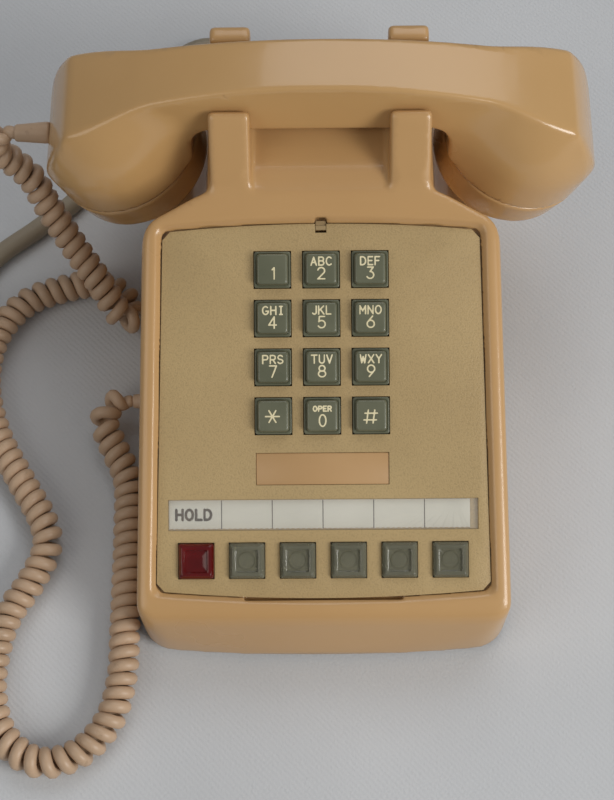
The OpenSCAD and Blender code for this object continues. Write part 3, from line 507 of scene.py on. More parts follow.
def frames_along(path, first=(0, 0, 1)):
    """Directions along a path and two directions across it that don't twist."""
    t = np.gradient(path, axis=0)
    t /= np.linalg.norm(t, axis=1)[:, None]
    a = np.array(first, float) - t[0] * np.dot(first, t[0])
    a /= np.linalg.norm(a)
    across = [a]
    for i in range(1, len(path)):
        a = across[-1] - t[i] * np.dot(across[-1], t[i])
        across.append(a / np.linalg.norm(a))
    across = np.array(across)
    return t, across, np.cross(t, across)


def tube(name, path, radius, sides, material):
    """A round cord along a path, with its two ends rounded over."""
    t, a, b = frames_along(path)
    ang = circle(sides)
    cosines, sines = np.cos(ang)[None, :, None], np.sin(ang)[None, :, None]
    rings = path[:, None, :] + radius * (cosines * a[:, None, :] + sines * b[:, None, :])
    for end, way in ((0, -1), (-1, 1)):
        tip = (path[end] + way * t[end] * radius * 0.35 + (rings[end] - path[end]) * 0.7)[None]
        rings = np.concatenate((tip, rings) if end == 0 else (rings, tip))
    return loft(name, [list(map(tuple, r)) for r in rings], material=material)


CURL_PATH = [
    (-125.1, 81.5, 81), (-129.5, 81.5, 81), (-134, 81, 77), (-134.5, 80, 70), (-129, 79, 62.5),
    (-122, 75, 55), (-117, 68, 46),
    (-107, 55, 34), (-96, 41, 24.5), (-88, 30, 15), (-83, 32, 8), (-88, 43, 6.6), (-99, 49, 6.6),
    (-114, 47, 6.6), (-131, 40, 6.6), (-143, 24, 6.6), (-146, 2, 6.6), (-140, -21, 6.6),
    (-128, -43, 6.6), (-118, -60, 6.6), (-115, -73, 6.6), (-121, -88, 6.6), (-129, -101, 6.6),
    (-133, -115, 6.6), (-134, -133, 6.6), (-128, -151, 6.6), (-114, -161, 6.6), (-98, -158, 6.6),
    (-86, -145, 6.6), (-81.5, -127, 6.6), (-81.2, -108, 6.6), (-81.2, -88, 6.6), (-81.4, -66, 6.6),
    (-82.5, -44, 6.6), (-89, -29, 8), (-93, -19, 11), (-90, -11.5, 13), (-81.6, -10, 13)]
WIRE_D, CURL_D, CLOSE_PITCH, POINTS_PER_TURN = 5.2, 13.0, 5.32, 16
CORE_STEP, END_RUN = 0.5, 9.0
core, along = even(smooth_path(CURL_PATH), CORE_STEP)
t_dir, side_a, side_b = frames_along(core, (1, 0, 0))
# the turns stand further apart where the cord bends, and close up to the bare wire at both ends
bend = np.linalg.norm(np.gradient(t_dir, axis=0), axis=1) / CORE_STEP
bend = np.convolve(np.pad(bend, 12, "edge"), np.ones(25) / 25, "valid")
pitch = CLOSE_PITCH / (1 - np.clip(3.9 * bend * 0.75, 0, 0.45))
turns = np.concatenate(([0], np.cumsum(CORE_STEP / pitch[1:])))
swell = np.clip(np.minimum(along / END_RUN, (along[-1] - along) / END_RUN), 0, 1)
swell = (CURL_D - WIRE_D) / 2 * swell * swell * (3 - 2 * swell)
steps = np.arange(0, turns[-1], 1 / POINTS_PER_TURN)
at = np.interp(steps, turns, along)
pick = lambda v: np.stack([np.interp(at, along, v[:, k]) for k in range(3)], 1)
spin = 2 * math.pi * steps
r_at = np.interp(at, along, swell)[:, None]
helix = pick(core) + r_at * (np.cos(spin)[:, None] * pick(side_a) + np.sin(spin)[:, None] * pick(side_b))
helix = np.vstack((core[0], helix[1:-2], core[-1]))
curl = tube("handset_curly_cord", helix, WIRE_D / 2, 10, PINK_CORD)
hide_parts("handset_cord")
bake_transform(curl)

CABLE_PATH = [
    (-22, 143.1, 14), (-22, 149, 14), (-24.5, 157, 10.8), (-31, 166, 6.8), (-42, 174, 4.6), (-57, 175, 4.6),
    (-71, 165, 4.6), (-80, 150, 4.6), (-89, 132, 4.6), (-99, 112, 4.6), (-112, 93, 4.6),
    (-129, 78, 4.6), (-146, 64, 4.6), (-155, 49, 4.6), (-158.2, 30, 4.6)]
CABLE_D, LIE_Z = 8.8, 4.6
RING, RING_R, WOUND_TURNS, POINTS_PER_WIND = (-226.0, 10.0), 58.8, 5.58, 24


def wound():
    """The put-away length: three turns side by side on the table, then the rest on top of them."""
    ease = lambda v: min(max(v, 0.0), 1.0) ** 2 * (3 - 2 * min(max(v, 0.0), 1.0))
    out = []
    for k in range(2, int(WOUND_TURNS * POINTS_PER_WIND) + 1):
        n = k / POINTS_PER_WIND
        r = RING_R + 9 * (1 - min(n / 0.4, 1)) ** 2
        r += CABLE_D * (ease((n - 4) / 0.3) + ease((n - 5) / 0.3) - ease((n - 1) / 0.3) - ease((n - 2) / 0.3))
        climb = ease((n - 3) / 0.25)
        r -= 5 * math.sin(math.pi * climb)
        a = -2 * math.pi * n
        out.append((RING[0] + r * math.cos(a), RING[1] + r * math.sin(a), LIE_Z + CABLE_D * climb))
    return out


line_route = CABLE_PATH + wound() + [(-268.6, 54, 10.4), (-266, 64.2, 8.9)]
line_path, _ = even(smooth_path(line_route, 8), 3.0)
line_cable = tube("line_cable_grey", line_path, CABLE_D / 2, 20, GREY_CABLE)
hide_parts("line_cable", "line_cable_coil")
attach(line_cable, "base")


# ------------------------ the 50-contact plug on the line cable's end
PLUG_X, PLUG_Y = -266.0, 104


def plug_block(half_x, half_y, z0, z1, r, material, y=PLUG_Y, x=PLUG_X):
    """A block of the plug with rounded corners and edges."""
    rings = []
    for z, d in ((z0, 1.0), (z0 + 0.4, 0.3), (z0 + 1.2, 0), (z1 - 1.2, 0), (z1 - 0.4, 0.3), (z1, 1.0)):
        rings.append([(x + a, y + b, z) for a, b in rounded_square(half_x - d, max(r - d, 0.4), 5, half_y - d)])
    return loft("block", rings, material=material)


plug_parts = [plug_block(10, 31, 0.2, 17.2, 3.0, PLUG_GREY),
              plug_block(7, 6.5, 3.2, 14.2, 3.0, PLUG_GREY, y=70.5),
              plug_block(2.4, 35, 2.2, 15.2, 1.4, STEEL, x=-277.0),
              plug_block(1.0, 28, 5.6, 11.8, 0.6, BLACK, x=-280.4)]
for k in range(6):
    plug_parts.append(plug_block(10.2, 0.8, 4, 13.6, 0.5, PLUG_GREY, y=84 + 8 * k))
for y in (72.5, 135.5):
    rings = [[(-280.6 - d, y + r * math.cos(a), 8.7 + r * math.sin(a)) for a in circle(20)]
             for d, r in ((0, 2.6), (0.9, 2.6), (1.2, 2.2), (1.25, 0.9), (0.6, 0.8))]
    plug_parts.append(loft("screw", rings, material=STEEL))
line_plug = crisp(join("line_plug_shell", plug_parts))
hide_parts("line_plug")
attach(line_plug, "base")


def strap(angle):
    """A tie wound once round the put-away cable."""
    middle, half_x, half_z, mid_z = 50, 14.0, 9.05, 9.4
    out = rounded_square(half_x, 5.0, 6, half_z)
    outer = [[(x * (1 + t / half_x), y, w) for x, y in out]
             for w, t in ((-3.2, 0.15), (-3.0, 0.6), (3.0, 0.6), (3.2, 0.15))]
    inner = [[(x * 0.985, y * 0.975, w) for x, y in out] for w in (3.2, -3.2)]
    c, s = math.cos(angle), math.sin(angle)
    turn = lambda p: (RING[0] + (middle + p[0]) * c - p[2] * s, RING[1] + (middle + p[0]) * s + p[2] * c,
                      mid_z + p[1])
    rings = [[turn(p) for p in r] for r in outer + inner]
    return loft("strap", rings + [rings[0]], material=BLACK, capped=False)


cable_tie = join("cable_tie", [strap(math.radians(75)), strap(math.radians(255))])
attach(cable_tie, "base")


# strain reliefs: ribbed, tapered sleeves
def sleeve(name, origin, way, profile, material, ribs=0):
    """A turned sleeve from (distance, radius) pairs, with rings moulded round it if ribs is given."""
    x = Vector(way).normalized()
    up = Vector((0, 0, 1)) if abs(x.z) < 0.9 else Vector((1, 0, 0))
    a = x.cross(up).normalized()
    b = x.cross(a)
    rings = []
    for d, r in profile:
        if ribs:
            r = r + 0.22 * math.sin(d * ribs)
        rings.append([tuple(Vector(origin) + x * d + (a * math.cos(k) + b * math.sin(k)) * r)
                      for k in circle(24)])
    return loft(name, rings, material=material)


def taper(l0, l1, r0, r1, n):
    """Profile points along a straight taper."""
    return [(l0 + (l1 - l0) * k / n, r0 + (r1 - r0) * k / n) for k in range(n + 1)]


hand_boot = sleeve("handset_cord_sleeve", (-112, CRADLE_Y, DOME_Z - 5), (-1, 0, 0),
                   [(-3.4, 3.0), (-1.6, 3.2), (-1.6, 4.1), (-0.6, 4.4)] + taper(0.8, 12.2, 4.4, 3.5, 40)
                   + [(12.8, 3.2), (13.0, 2.7)], PINK_CORD)
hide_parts("handset_cord_boot")
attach(hand_boot, "handset")
CURL_EXIT_Y, CURL_EXIT_Z, CABLE_EXIT_X, CABLE_EXIT_Z = -10.0, 13.0, -22, 14
base_boot = sleeve("base_cord_sleeve", (-float(half_w(CURL_EXIT_Z)), CURL_EXIT_Y, CURL_EXIT_Z), (-1, 0, 0),
                   [(-6, 5.2), (-4.4, 5.4), (-4.4, 3.9), (1.2, 3.9), (1.9, 3.6)] + taper(2.2, 6.4, 3.55, 2.9, 18)
                   + [(6.9, 2.7)], PINK_CORD)
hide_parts("base_cord_boot")
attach(base_boot, "base")
cable_boot = sleeve("line_cable_sleeve", (CABLE_EXIT_X, REAR_Y, CABLE_EXIT_Z), (0, 1, 0),
                    [(-7, 8.0), (-5.2, 8.1), (-5.2, 6.1), (1.6, 6.1)] + taper(2, 23, 6.05, 4.9, 80) + [(24, 4.6)],
                    GREY_CABLE, ribs=1.6)
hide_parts("line_cable_boot")
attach(cable_boot, "base")

# ------------------------ housing
STEP = 0.8
lo, hi = (-80.0, -124.0, -8.0), (80.0, 124.0, 126.0)
X, Y, Z = axes(lo, hi, STEP)


def from_above(outline):
    """A field from an outline in plan, the same at every height."""
    return polygon_field(X[:, :, 0] + 0 * Y[:, :, 0], Y[:, :, 0] + 0 * X[:, :, 0], outline)[:, :, None]


def from_side(outline):
    return polygon_field(Y[0] + 0 * Z[0], Z[0] + 0 * Y[0], outline)[None]


def from_front(outline):
    return polygon_field(X[:, 0] + 0 * Z[:, 0], Z[:, 0] + 0 * X[:, 0], outline)[:, None]


def bow(cx, cy, rx, ry, a0, a1, n=14):
    """Points along an arc of an ellipse, between two angles in degrees."""
    return [(cx + rx * math.cos(math.radians(a0 + (a1 - a0) * k / n)),
             cy + ry * math.sin(math.radians(a0 + (a1 - a0) * k / n))) for k in range(n + 1)]


def arc_points(cx, cy, r, a0, a1, n=8):
    return bow(cx, cy, r, r, a0, a1, n)


def front_edge(w, r=14.0):
    """The bowed front edge with its two round corners."""
    e = w - r
    b = (e * e + PLATE_BOW ** 2) / (2 * PLATE_BOW)
    return (arc_points(r - w, FRONT_Y + PLATE_BOW + r, r, 180, 265)
            + [(e * i / 8, FRONT_Y + b - math.sqrt(b * b - (e * i / 8) ** 2)) for i in range(-8, 9)]
            + arc_points(w - r, FRONT_Y + PLATE_BOW + r, r, 275, 360))


W0, n2, back_r = float(half_w(0.0)), NECK_W / 2, 18
rim_front = PLATE_Y - 3.2
crown_rim = rim_z(CROWN_Y + 3.6)
front_rim = rim_z(rim_front)
front_side = ([(FRONT_Y - 0.3, -30), (FRONT_Y, FOOT_H), (FRONT_Y + 5.5, front_rim - 8),
               (FRONT_Y + 6.5, front_rim - 4), (FRONT_Y + 8.7, front_rim - 1.4), (rim_front, front_rim), (CROWN_Y + 3.6, crown_rim),
               (CROWN_Y + 7.5, crown_rim + 2.2), (CROWN_Y + 12, VALLEY_Z - 0.4), (CROWN_Y + 13.5, VALLEY_Z - 30),
               (CROWN_Y + 16, -30)])
shoulder = float(half_w(CROWN_Z))
front_plan = (front_edge(W0) + [(W0, CROWN_Y - 12)] + arc_points(shoulder - 10, CROWN_Y - 6, 10, 8, 66, 6)
              + [(n2 + 0.4, CROWN_Y + 13), (n2, CROWN_Y + 17), (-n2, CROWN_Y + 17), (-n2 - 0.4, CROWN_Y + 13)]
              + arc_points(10 - shoulder, CROWN_Y - 6, 10, 114, 172, 6)
              + [(-W0, CROWN_Y - 12)])
heights = [-30.0, FACE_Z, VALLEY_Z + 5]
front_view = [(float(half_w(z)), z) for z in heights] + [(-float(half_w(z)), z) for z in heights[::-1]]
base_plan = (front_edge(W0) + arc_points(W0 - back_r, REAR_Y - back_r, back_r, 0, 90, 10)
             + arc_points(back_r - W0, REAR_Y - back_r, back_r, 90, 180, 10))
neck_side = ([(CROWN_Y - 16, -30), (CROWN_Y - 16, CROWN_Z - 14), (CROWN_Y + 8, VALLEY_Z - 3),
              (CROWN_Y + 19, VALLEY_Z), (CRADLE_Y + TROUGH + 9, VALLEY_Z)] + arc_points(REAR_Y - 18, VALLEY_Z - 12, 9, 70, 8, 5)
             + [(REAR_Y - 4, DECK_Z + 16), (REAR_Y - 1, FOOT_H + 20), (REAR_Y, FOOT_H), (REAR_Y, -30)])
flare = [(float(half_w(-30.0)), -30), (float(half_w(DECK_Z - 6)), DECK_Z - 6),
         (float(half_w(DECK_Z)) - 2, DECK_Z), (n2 + 20, DECK_Z + 6.5), (n2 + 11, DECK_Z + 12.5),
         (n2 + 5, DECK_Z + 20), (n2 + 2.4, DECK_Z + 29), (n2 + 1.8, VALLEY_Z - 14), (n2, VALLEY_Z + 22)]
neck_view = flare + [(-x, z) for x, z in flare[::-1]]
fb, rb = CRADLE_Y - TROUGH, CRADLE_Y + TROUGH
ear_side = ([(CROWN_Y + 9, VALLEY_Z - 12), (CROWN_Y + 11, VALLEY_Z - 1.5), (CROWN_Y + 13.5, VALLEY_Z + 1.6)]
            + arc_points(fb - 2.2, EAR_TOP - 2, 2, 135, 10, 5)
            + [(fb, SADDLE_Z + 1), (fb + 1, SADDLE_Z), (rb - 1, SADDLE_Z), (rb, SADDLE_Z + 1)]
            + arc_points(rb + 3, EAR_TOP - 2.2, 2.2, 170, 90, 4)
            + arc_points(rb + 6.4, EAR_TOP - 2.2, 2.2, 90, 0, 4)
            + [(rb + 9.5, VALLEY_Z), (rb + 9, VALLEY_Z - 12)])

front_part = both(from_side(front_side), both(from_above(front_plan), from_front(front_view)), 2.2)
neck_part = both(both(from_side(neck_side), from_above(base_plan)), from_front(neck_view), 1.5)
ear_part = both(from_side(ear_side), np.abs(np.abs(X) - (n2 - EAR_W / 2)) - EAR_W / 2, 1.0)
hull = either(front_part, neck_part)
hull = blur(hull, 5)
hull = either(hull, ear_part, 1.5)
hull = blur(hull, 2)
shell = np.maximum(hull, -(hull + WALL))
# the hand-hold in the back, a pocket with walls of its own
pocket = brick(X, Y, Z, 0, REAR_Y + 2, CROWN_Z - 15.5, 28, 26, 13.5, 5)
pocket_wall = brick(X, Y, Z, 0, REAR_Y + 2, CROWN_Z - 15.5, 30.4, 28.4, 15.9, 6)
shell = np.maximum(np.minimum(shell, np.maximum(pocket_wall, hull + 0.3)), -pocket)
U = (Y - PLATE_Y) * COS + (Z - FACE_Z) * SIN
H = (Z - FACE_Z) * COS - (Y - PLATE_Y) * SIN


def plate_field(grow):
    """Distance to the faceplate's outline, on the face."""
    across = np.abs(X) - (PLATE_W / 2 - PLATE_TAPER * U / PLATE_LEN) - grow
    rise = PLATE_BOW * (X / (PLATE_W / 2)) ** 2
    return both(across, np.maximum(U - (PLATE_LEN - rise), rise - U) - grow, 3.0)


well = np.maximum(plate_field(0.2 + 0.95 * np.clip(H + 0.1, 0, 4)), -PLATE_T - 0.15 - H)
ledge = np.maximum(np.maximum(plate_field(3.4), -plate_field(-2.6)), np.abs(H + PLATE_T + 1.9) - 1.75)
shell = np.minimum(shell, np.maximum(ledge, hull + 0.5))
shell = both(shell, -well, 0.4)
shell = np.maximum(shell, -np.maximum(plate_field(-2.6), -9 - H))
shell = np.maximum(shell, -brick(X, U, H, 0, 0.1, -1.2, 31, 0.9, 2.6, 0.4))
# holes for the plungers, the handset cord and the line cable
holes = (np.maximum(np.hypot(np.abs(X) - (n2 - EAR_W / 2), Y - CRADLE_Y) - 3.6, VALLEY_Z - 12 - Z),
         np.maximum(np.hypot(Y - CURL_EXIT_Y, Z - CURL_EXIT_Z) - 4.15, X + 60),
         np.maximum(np.hypot(X - CABLE_EXIT_X, Z - CABLE_EXIT_Z) - 6.4, 100 - Y))
for hole in holes:
    shell = np.maximum(shell, -hole)
shell = np.maximum(shell, FOOT_H - Z)
notch = brick(X, U, H, 0, PLATE_LEN + 0.6, 0, 2.3, 1.7, 3.0, 0.3)
shell = np.maximum(shell, -notch)
housing = skin("housing_shell", shell, lo, STEP, BEIGE, adapt=0.04)
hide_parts("housing")
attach(housing, "base")

# ------------------------ handset
HS = 0.9
hlo, hhi = (-116.0, CRADLE_Y - 36, 55.0), (116.0, CRADLE_Y + 36, 134.0)
X, Y, Z = axes(hlo, hhi, HS)


def arch(x):
    """Height of the grip's arched top."""
    return TOP_Z - ARCH_R + math.sqrt(ARCH_R * ARCH_R - x * x)


end, end_z, end_r = 113.0, SEAM_Z - 10, 90
roof = [(i / 16 * end, arch(i / 16 * end)) for i in range(-16, 17)] + [(end, 0), (-end, 0)]
ends = ([(-end, 0), (end, 0)] + arc_points(end - end_r, end_z, end_r, 0, 50, 20)
        + arc_points(end_r - end, end_z, end_r, 130, 180, 20))
inner = CUP_X - CUP_R + 3
above = ([(-130, TOP_Z + 20), (130, TOP_Z + 20), (130, 30), (inner, 30)]
         + arc_points(inner - 10, GRIP_Z - 10, 10, 0, 90, 8)
         + arc_points(10 - inner, GRIP_Z - 10, 10, 90, 180, 8)
         + [(-inner, 30), (-130, 30)])
dx, dy, dz = np.abs(X) - CUP_X, Y - CRADLE_Y, Z - SEAM_Z
depth = -dx * math.sin(CAP_TILT) - dz * math.cos(CAP_TILT)
rho = np.hypot(dx * math.cos(CAP_TILT) - dz * math.sin(CAP_TILT), dy)
dome = np.hypot(rho, np.maximum(-depth - DOME_DEPTH, 0)) - CUP_R
sides = np.abs(dy) - 13.2 - 0.1 * np.clip(TOP_Z - Z, 0, 25)
grip = np.maximum(np.maximum(sides, np.abs(X) - 96), GRIP_Z - 16 - Z)
# a sloping plane flattens the backs of the cups a little
hand = both(either(dome, grip, 12.0), 0.926 * dy + 0.378 * Z - 60.0, 8.0)
hand = both(hand, from_front(above), 0.9)
hand = both(hand, both(from_front(roof), from_front(ends), 1.2), 1.0)
hand = np.maximum(hand, np.abs(dy) - CUP_R)
hand = blur(hand, 1)
hollow = np.maximum(hand + 4.2, -depth - 26)
hand = np.maximum(both(hand, depth + 0.12, 0.5), -hollow)
shell_top = skin("handset_body", hand, hlo, HS, BEIGE_HAND, adapt=0.03)
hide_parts("handset_shell")
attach(shell_top, "handset")

CS = 0.6
clo, chi = (-34.0, -34.0, -1.5), (34.0, 34.0, 20.0)
X, Y, Z = axes(clo, chi, CS)
rr = np.hypot(X[:, :, 0], Y[:, :, 0])
profile = ([(0, 16.2), (CUP_R - 14, 16.3), (CUP_R - 10.2, 17.7)] + arc_points(CUP_R - 7.3, 12.1, 5.8, 92, 12, 8)
           + [(CUP_R - 0.1, 2), (CUP_R - 0.1, 0.15), (CUP_R - 2.3, 0.15), (CUP_R - 2.3, 10), (CUP_R - 8, 14), (0, 14)])
zr = np.arange(clo[2], chi[2] + CS, CS, dtype=np.float32)
rg = np.linspace(0, 50, 400, dtype=np.float32)
table = polygon_field(rg[:, None] + 0 * zr[None, :], zr[None, :] + 0 * rg[:, None], profile)
cap = np.stack([np.interp(rr, rg, table[:, k]) for k in range(len(zr))], 2).astype(np.float32)
for count, ring in ((1, 0.0), (6, 6.0), (12, 11.0)):
    for k in range(count):
        a = 2 * math.pi * k / count
        cap = np.maximum(cap, -(np.hypot(X - ring * math.cos(a), Y - ring * math.sin(a)) - 1.15))
cap = blur(cap, 1)
right = Matrix.Translation((CUP_X, CRADLE_Y, SEAM_Z)) @ Matrix.Rotation(math.pi + CAP_TILT, 4, "Y")
ear = skin("ear_cap_shell", cap, clo, CS, BEIGE_HAND, to_world=right, adapt=0.05)
left = Matrix.Translation((-CUP_X, CRADLE_Y, SEAM_Z)) @ Matrix.Rotation(math.pi - CAP_TILT, 4, "Y")
mouth = skin("mouth_cap_shell", cap, clo, CS, BEIGE_HAND, to_world=left, adapt=0.05)
for piece, node in ((ear, "ear_cap"), (mouth, "mouth_cap")):
    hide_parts(node)
    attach(piece, "handset")

# ------------------------ faceplate and what is let into it
plate = soften("face_plate", "faceplate", 0.35, PEBBLE)
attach(plate, "base")
badge = soften("badge_blank", "badge_plate", 0.2, TAN)
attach(badge, "base")


def face_slab(name, outline, h0, h1, material, u=0.0, x=0.0, edge=0.12):
    """A thin piece lying on the face, with its upper edge eased."""
    cx = sum(p[0] for p in outline) / len(outline)
    cy = sum(p[1] for p in outline) / len(outline)
    toward = lambda a, middle, d: a - math.copysign(min(d, abs(a - middle)), a - middle)
    rings = [[face_point(x + toward(a, cx, d), u + toward(b, cy, d), h) for a, b in outline]
             for h, d in ((h0, 0), (h1 - edge, 0), (h1, edge))]
    return loft(name, rings, material=material)


# the paper strip's lower edge is torn along a perforation
strip_w, strip_l, teeth = 117.4, 11.3, 57
bottom = []
for k in range(teeth * 4 + 1):
    s = k / (teeth * 4)
    bottom.append((-strip_w / 2 + strip_w * s, -strip_l / 2 + 0.28 * abs(math.sin(math.pi * teeth * s))))
top = [(strip_w / 2 - strip_w * k / 20, strip_l / 2) for k in range(21)]
paper = face_slab("strip_paper", bottom + top, -1.45, -1.16, PAPER, STRIP_U + 0.1, -1.4, 0.04)
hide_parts("designation_strip")
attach(paper, "base")
cover = soften("strip_cover", "strip_window", 0.15, CLEAR_COVER)
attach(cover, "base")

# ------------------------ lettering: single strokes with round ends
P_SHAPE = [(0, 0), (0, 6), (2.3, 6)] + bow(2.3, 4.4, 1.5, 1.6, 90, -90) + [(0, 2.8)]
STROKES = {
    "A": [[(0, 0), (2, 6), (4, 0)], [(0.7, 2), (3.3, 2)]],
    "B": [[(0, 0), (0, 6), (2.2, 6)] + bow(2.2, 4.6, 1.4, 1.4, 90, -90) + [(0, 3.2)],
          bow(2.2, 1.6, 1.6, 1.6, 90, -90) + [(0, 0)]],
    "C": [bow(2.2, 3, 2.2, 3, 48, 312)],
    "D": [[(0, 0), (0, 6), (1.4, 6)] + bow(1.4, 3, 2.4, 3, 90, -90) + [(0, 0)]],
    "E": [[(3.4, 0), (0, 0), (0, 6), (3.4, 6)], [(0, 3.1), (2.8, 3.1)]],
    "F": [[(0, 0), (0, 6), (3.4, 6)], [(0, 3.1), (2.8, 3.1)]],
    "G": [bow(2.2, 3, 2.2, 3, 48, 350) + [(2.5, 2.5)]],
    "H": [[(0, 0), (0, 6)], [(3.8, 0), (3.8, 6)], [(0, 3.1), (3.8, 3.1)]],
    "I": [[(1, 0), (3, 0)], [(2, 0), (2, 6)], [(1, 6), (3, 6)]],
    "J": [[(3, 6), (3, 1.6)] + bow(1.6, 1.5, 1.4, 1.5, 0, -150)],
    "K": [[(0, 0), (0, 6)], [(3.7, 6), (0, 2.4)], [(1.3, 3.6), (3.9, 0)]],
    "L": [[(0, 6), (0, 0), (3.3, 0)]],
    "M": [[(0, 0), (0, 6), (2.1, 2.2), (4.2, 6), (4.2, 0)]],
    "N": [[(0, 0), (0, 6), (3.8, 0), (3.8, 6)]],
    "O": [bow(2.1, 3, 2.1, 3, 0, 360, 28)],
    "P": [P_SHAPE],
    "R": [P_SHAPE, [(2.0, 2.8), (3.8, 0)]],
    "S": [bow(1.9, 4.5, 1.7, 1.5, 25, 270) + bow(1.9, 1.5, 1.9, 1.5, 90, -155)],
    "T": [[(0, 6), (4, 6)], [(2, 6), (2, 0)]],
    "U": [[(0, 6), (0, 2)] + bow(1.9, 2, 1.9, 2, 180, 360) + [(3.8, 6)]],
    "V": [[(0, 6), (2, 0), (4, 6)]],
    "W": [[(0, 6), (1, 0), (2.1, 4.6), (3.2, 0), (4.2, 6)]],
    "X": [[(0, 0), (4, 6)], [(0, 6), (4, 0)]],
    "Y": [[(0, 6), (2, 3), (4, 6)], [(2, 3), (2, 0)]],
    "0": [bow(2, 3, 1.7, 3, 0, 360, 28)],
    "1": [[(1.1, 4.9), (2.1, 6), (2.1, 0)]],
    "2": [bow(2, 4.3, 1.8, 1.7, 165, -35) + [(0.2, 0), (3.9, 0)]],
    "3": [[(0.5, 6), (3.5, 6), (1.8, 3.7)] + bow(1.8, 1.85, 1.9, 1.85, 75, -150)],
    "4": [[(2.9, 0), (2.9, 6), (0, 1.7), (4, 1.7)]],
    "5": [[(3.5, 6), (0.8, 6), (0.5, 3.3)] + bow(1.9, 1.95, 1.95, 1.95, 125, -150)],
    "6": [[(3.0, 6), (0.5, 3)], bow(2, 1.9, 1.9, 1.9, 0, 360, 24)],
    "7": [[(0.2, 6), (3.8, 6), (1.4, 0)]],
    "8": [bow(2, 4.5, 1.55, 1.5, 0, 360, 24), bow(2, 1.6, 1.9, 1.6, 0, 360, 24)],
    "9": [bow(2, 4.1, 1.9, 1.9, 0, 360, 24), [(3.5, 3), (1.0, 0)]],
    "*": [[(-0.6, 3), (4.6, 3)], [(0.7, 0.8), (3.3, 5.2)], [(0.7, 5.2), (3.3, 0.8)]],
    "#": [[(0.4, 0.2), (1.1, 5.2)], [(2.9, 0.2), (3.6, 5.2)], [(-0.6, 1.4), (4.2, 1.4)],
          [(-0.2, 4.0), (4.6, 4.0)]],
}


def writing(name, lines, weight, base, material, u, x, depth=0.28, proud=0.05, cell=0.11, half=6.0):
    """Words made of strokes, set into a surface at height base above the face.

    lines holds (word, height, centre, gap) for each line."""
    gx = np.arange(-half, half + cell, cell, dtype=np.float32)
    gy = np.arange(-6.2, 6.2 + cell, cell, dtype=np.float32)
    px, py = gx[:, None] + 0 * gy[None, :], gy[None, :] + 0 * gx[:, None]
    best = np.full(px.shape, 9.0, np.float32)
    for word, tall, middle, gap in lines:
        k = tall / 6
        widths = [max(q[0] for s in STROKES[c] for q in s) for c in word]
        total = sum(widths) * k + gap * (len(word) - 1)
        left = -total / 2
        for c, w in zip(word, widths):
            for stroke in STROKES[c]:
                for (ax, ay), (bx, by) in zip(stroke[:-1], stroke[1:]):
                    ax, ay = left + ax * k, middle + (ay - 3) * k
                    ex, ey = left + bx * k - ax, middle + (by - 3) * k - ay
                    t = np.clip(((px - ax) * ex + (py - ay) * ey) / max(ex * ex + ey * ey, 1e-9), 0, 1)
                    best = np.minimum(best, np.hypot(px - ax - t * ex, py - ay - t * ey))
            left += w * k + gap
    gz = np.arange(-depth - 3 * cell, proud + 4 * cell, cell, dtype=np.float32)
    slab = np.abs(gz[None, None, :] - (proud - depth) / 2) - (proud + depth) / 2
    f = both((best - weight)[:, :, None], slab, 0.04)
    spot = Matrix.Translation(face_point(x, u, base)) @ Matrix.Rotation(SLOPE, 4, "X")
    return skin(name, f, (gx[0], gy[0], gz[0]), cell, material, adapt=0.2, to_world=spot)


# ------------------------ dial keys
LEGENDS = [("1", ""), ("2", "ABC"), ("3", "DEF"), ("4", "GHI"), ("5", "JKL"), ("6", "MNO"), ("7", "PRS"),
           ("8", "TUV"), ("9", "WXY"), ("*", ""), ("0", "OPER"), ("#", "")]
KEY_NODES = ["1", "2", "3", "4", "5", "6", "7", "8", "9", "star", "0", "pound"]


def key_rings(half, r, rows, x, u):
    """Square rings of a moulded key, from (height, inset) rows."""
    return [[face_point(x + a, u + b, h) for a, b in rounded_square(half - d, max(r - d * 0.4, 0.3), 6)]
            for h, d in rows]


for i, (number, letters) in enumerate(LEGENDS):
    x, u = (i % 3 - 1) * KEY_PITCH, DIAL_U + (1.5 - i // 3) * KEY_PITCH
    flange = [(-2.5, 0.25), (-2.2, 0.0), (0.2, 0.0), (0.42, 0.08), (0.5, 0.3)]
    crown = [(0.5, -0.45), (0.35, -0.15), (0.1, 0.0), (1.4, 0.04), (2.5, 0.1), (3.0, 0.2), (3.3, 0.42),
             (3.45, 0.75), (3.5, 1.15), (3.5, 2.0), (3.49, 3.2), (3.48, 4.6)]
    top = loft("a", key_rings(7.1, 0.9, flange, x, u) + key_rings(6.1, 1.3, crown, x, u), material=OLIVE)
    stem = loft("b", [[face_point(x + a, u + b, h) for a, b in rounded_square(3.0 - d, 0.6)]
                      for h, d in ((-14.0, 0.4), (-13.6, 0.0), (-2.4, 0.0))], material=OLIVE)
    key = join("dial_key_" + KEY_NODES[i], [top, stem])
    key.data.shade_smooth()
    body = NODES["key_" + KEY_NODES[i]]["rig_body"]
    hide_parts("key_" + KEY_NODES[i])
    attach(key, body)
    lines = {"1": [("1", 4.4, -1.7, 0)], "*": [("*", 6.2, -0.2, 0)], "#": [("#", 6.0, -0.2, 0)],
             "0": [("OPER", 1.9, 2.7, 0.7), ("0", 4.5, -1.9, 0)]}
    lines = lines.get(number, [(letters, 3.1, 2.9, 0.95), (number, 4.4, -1.8, 0)])
    legend = writing("legend_" + KEY_NODES[i], lines, 0.33, 3.49, CREAM, u, x)
    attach(legend, body)

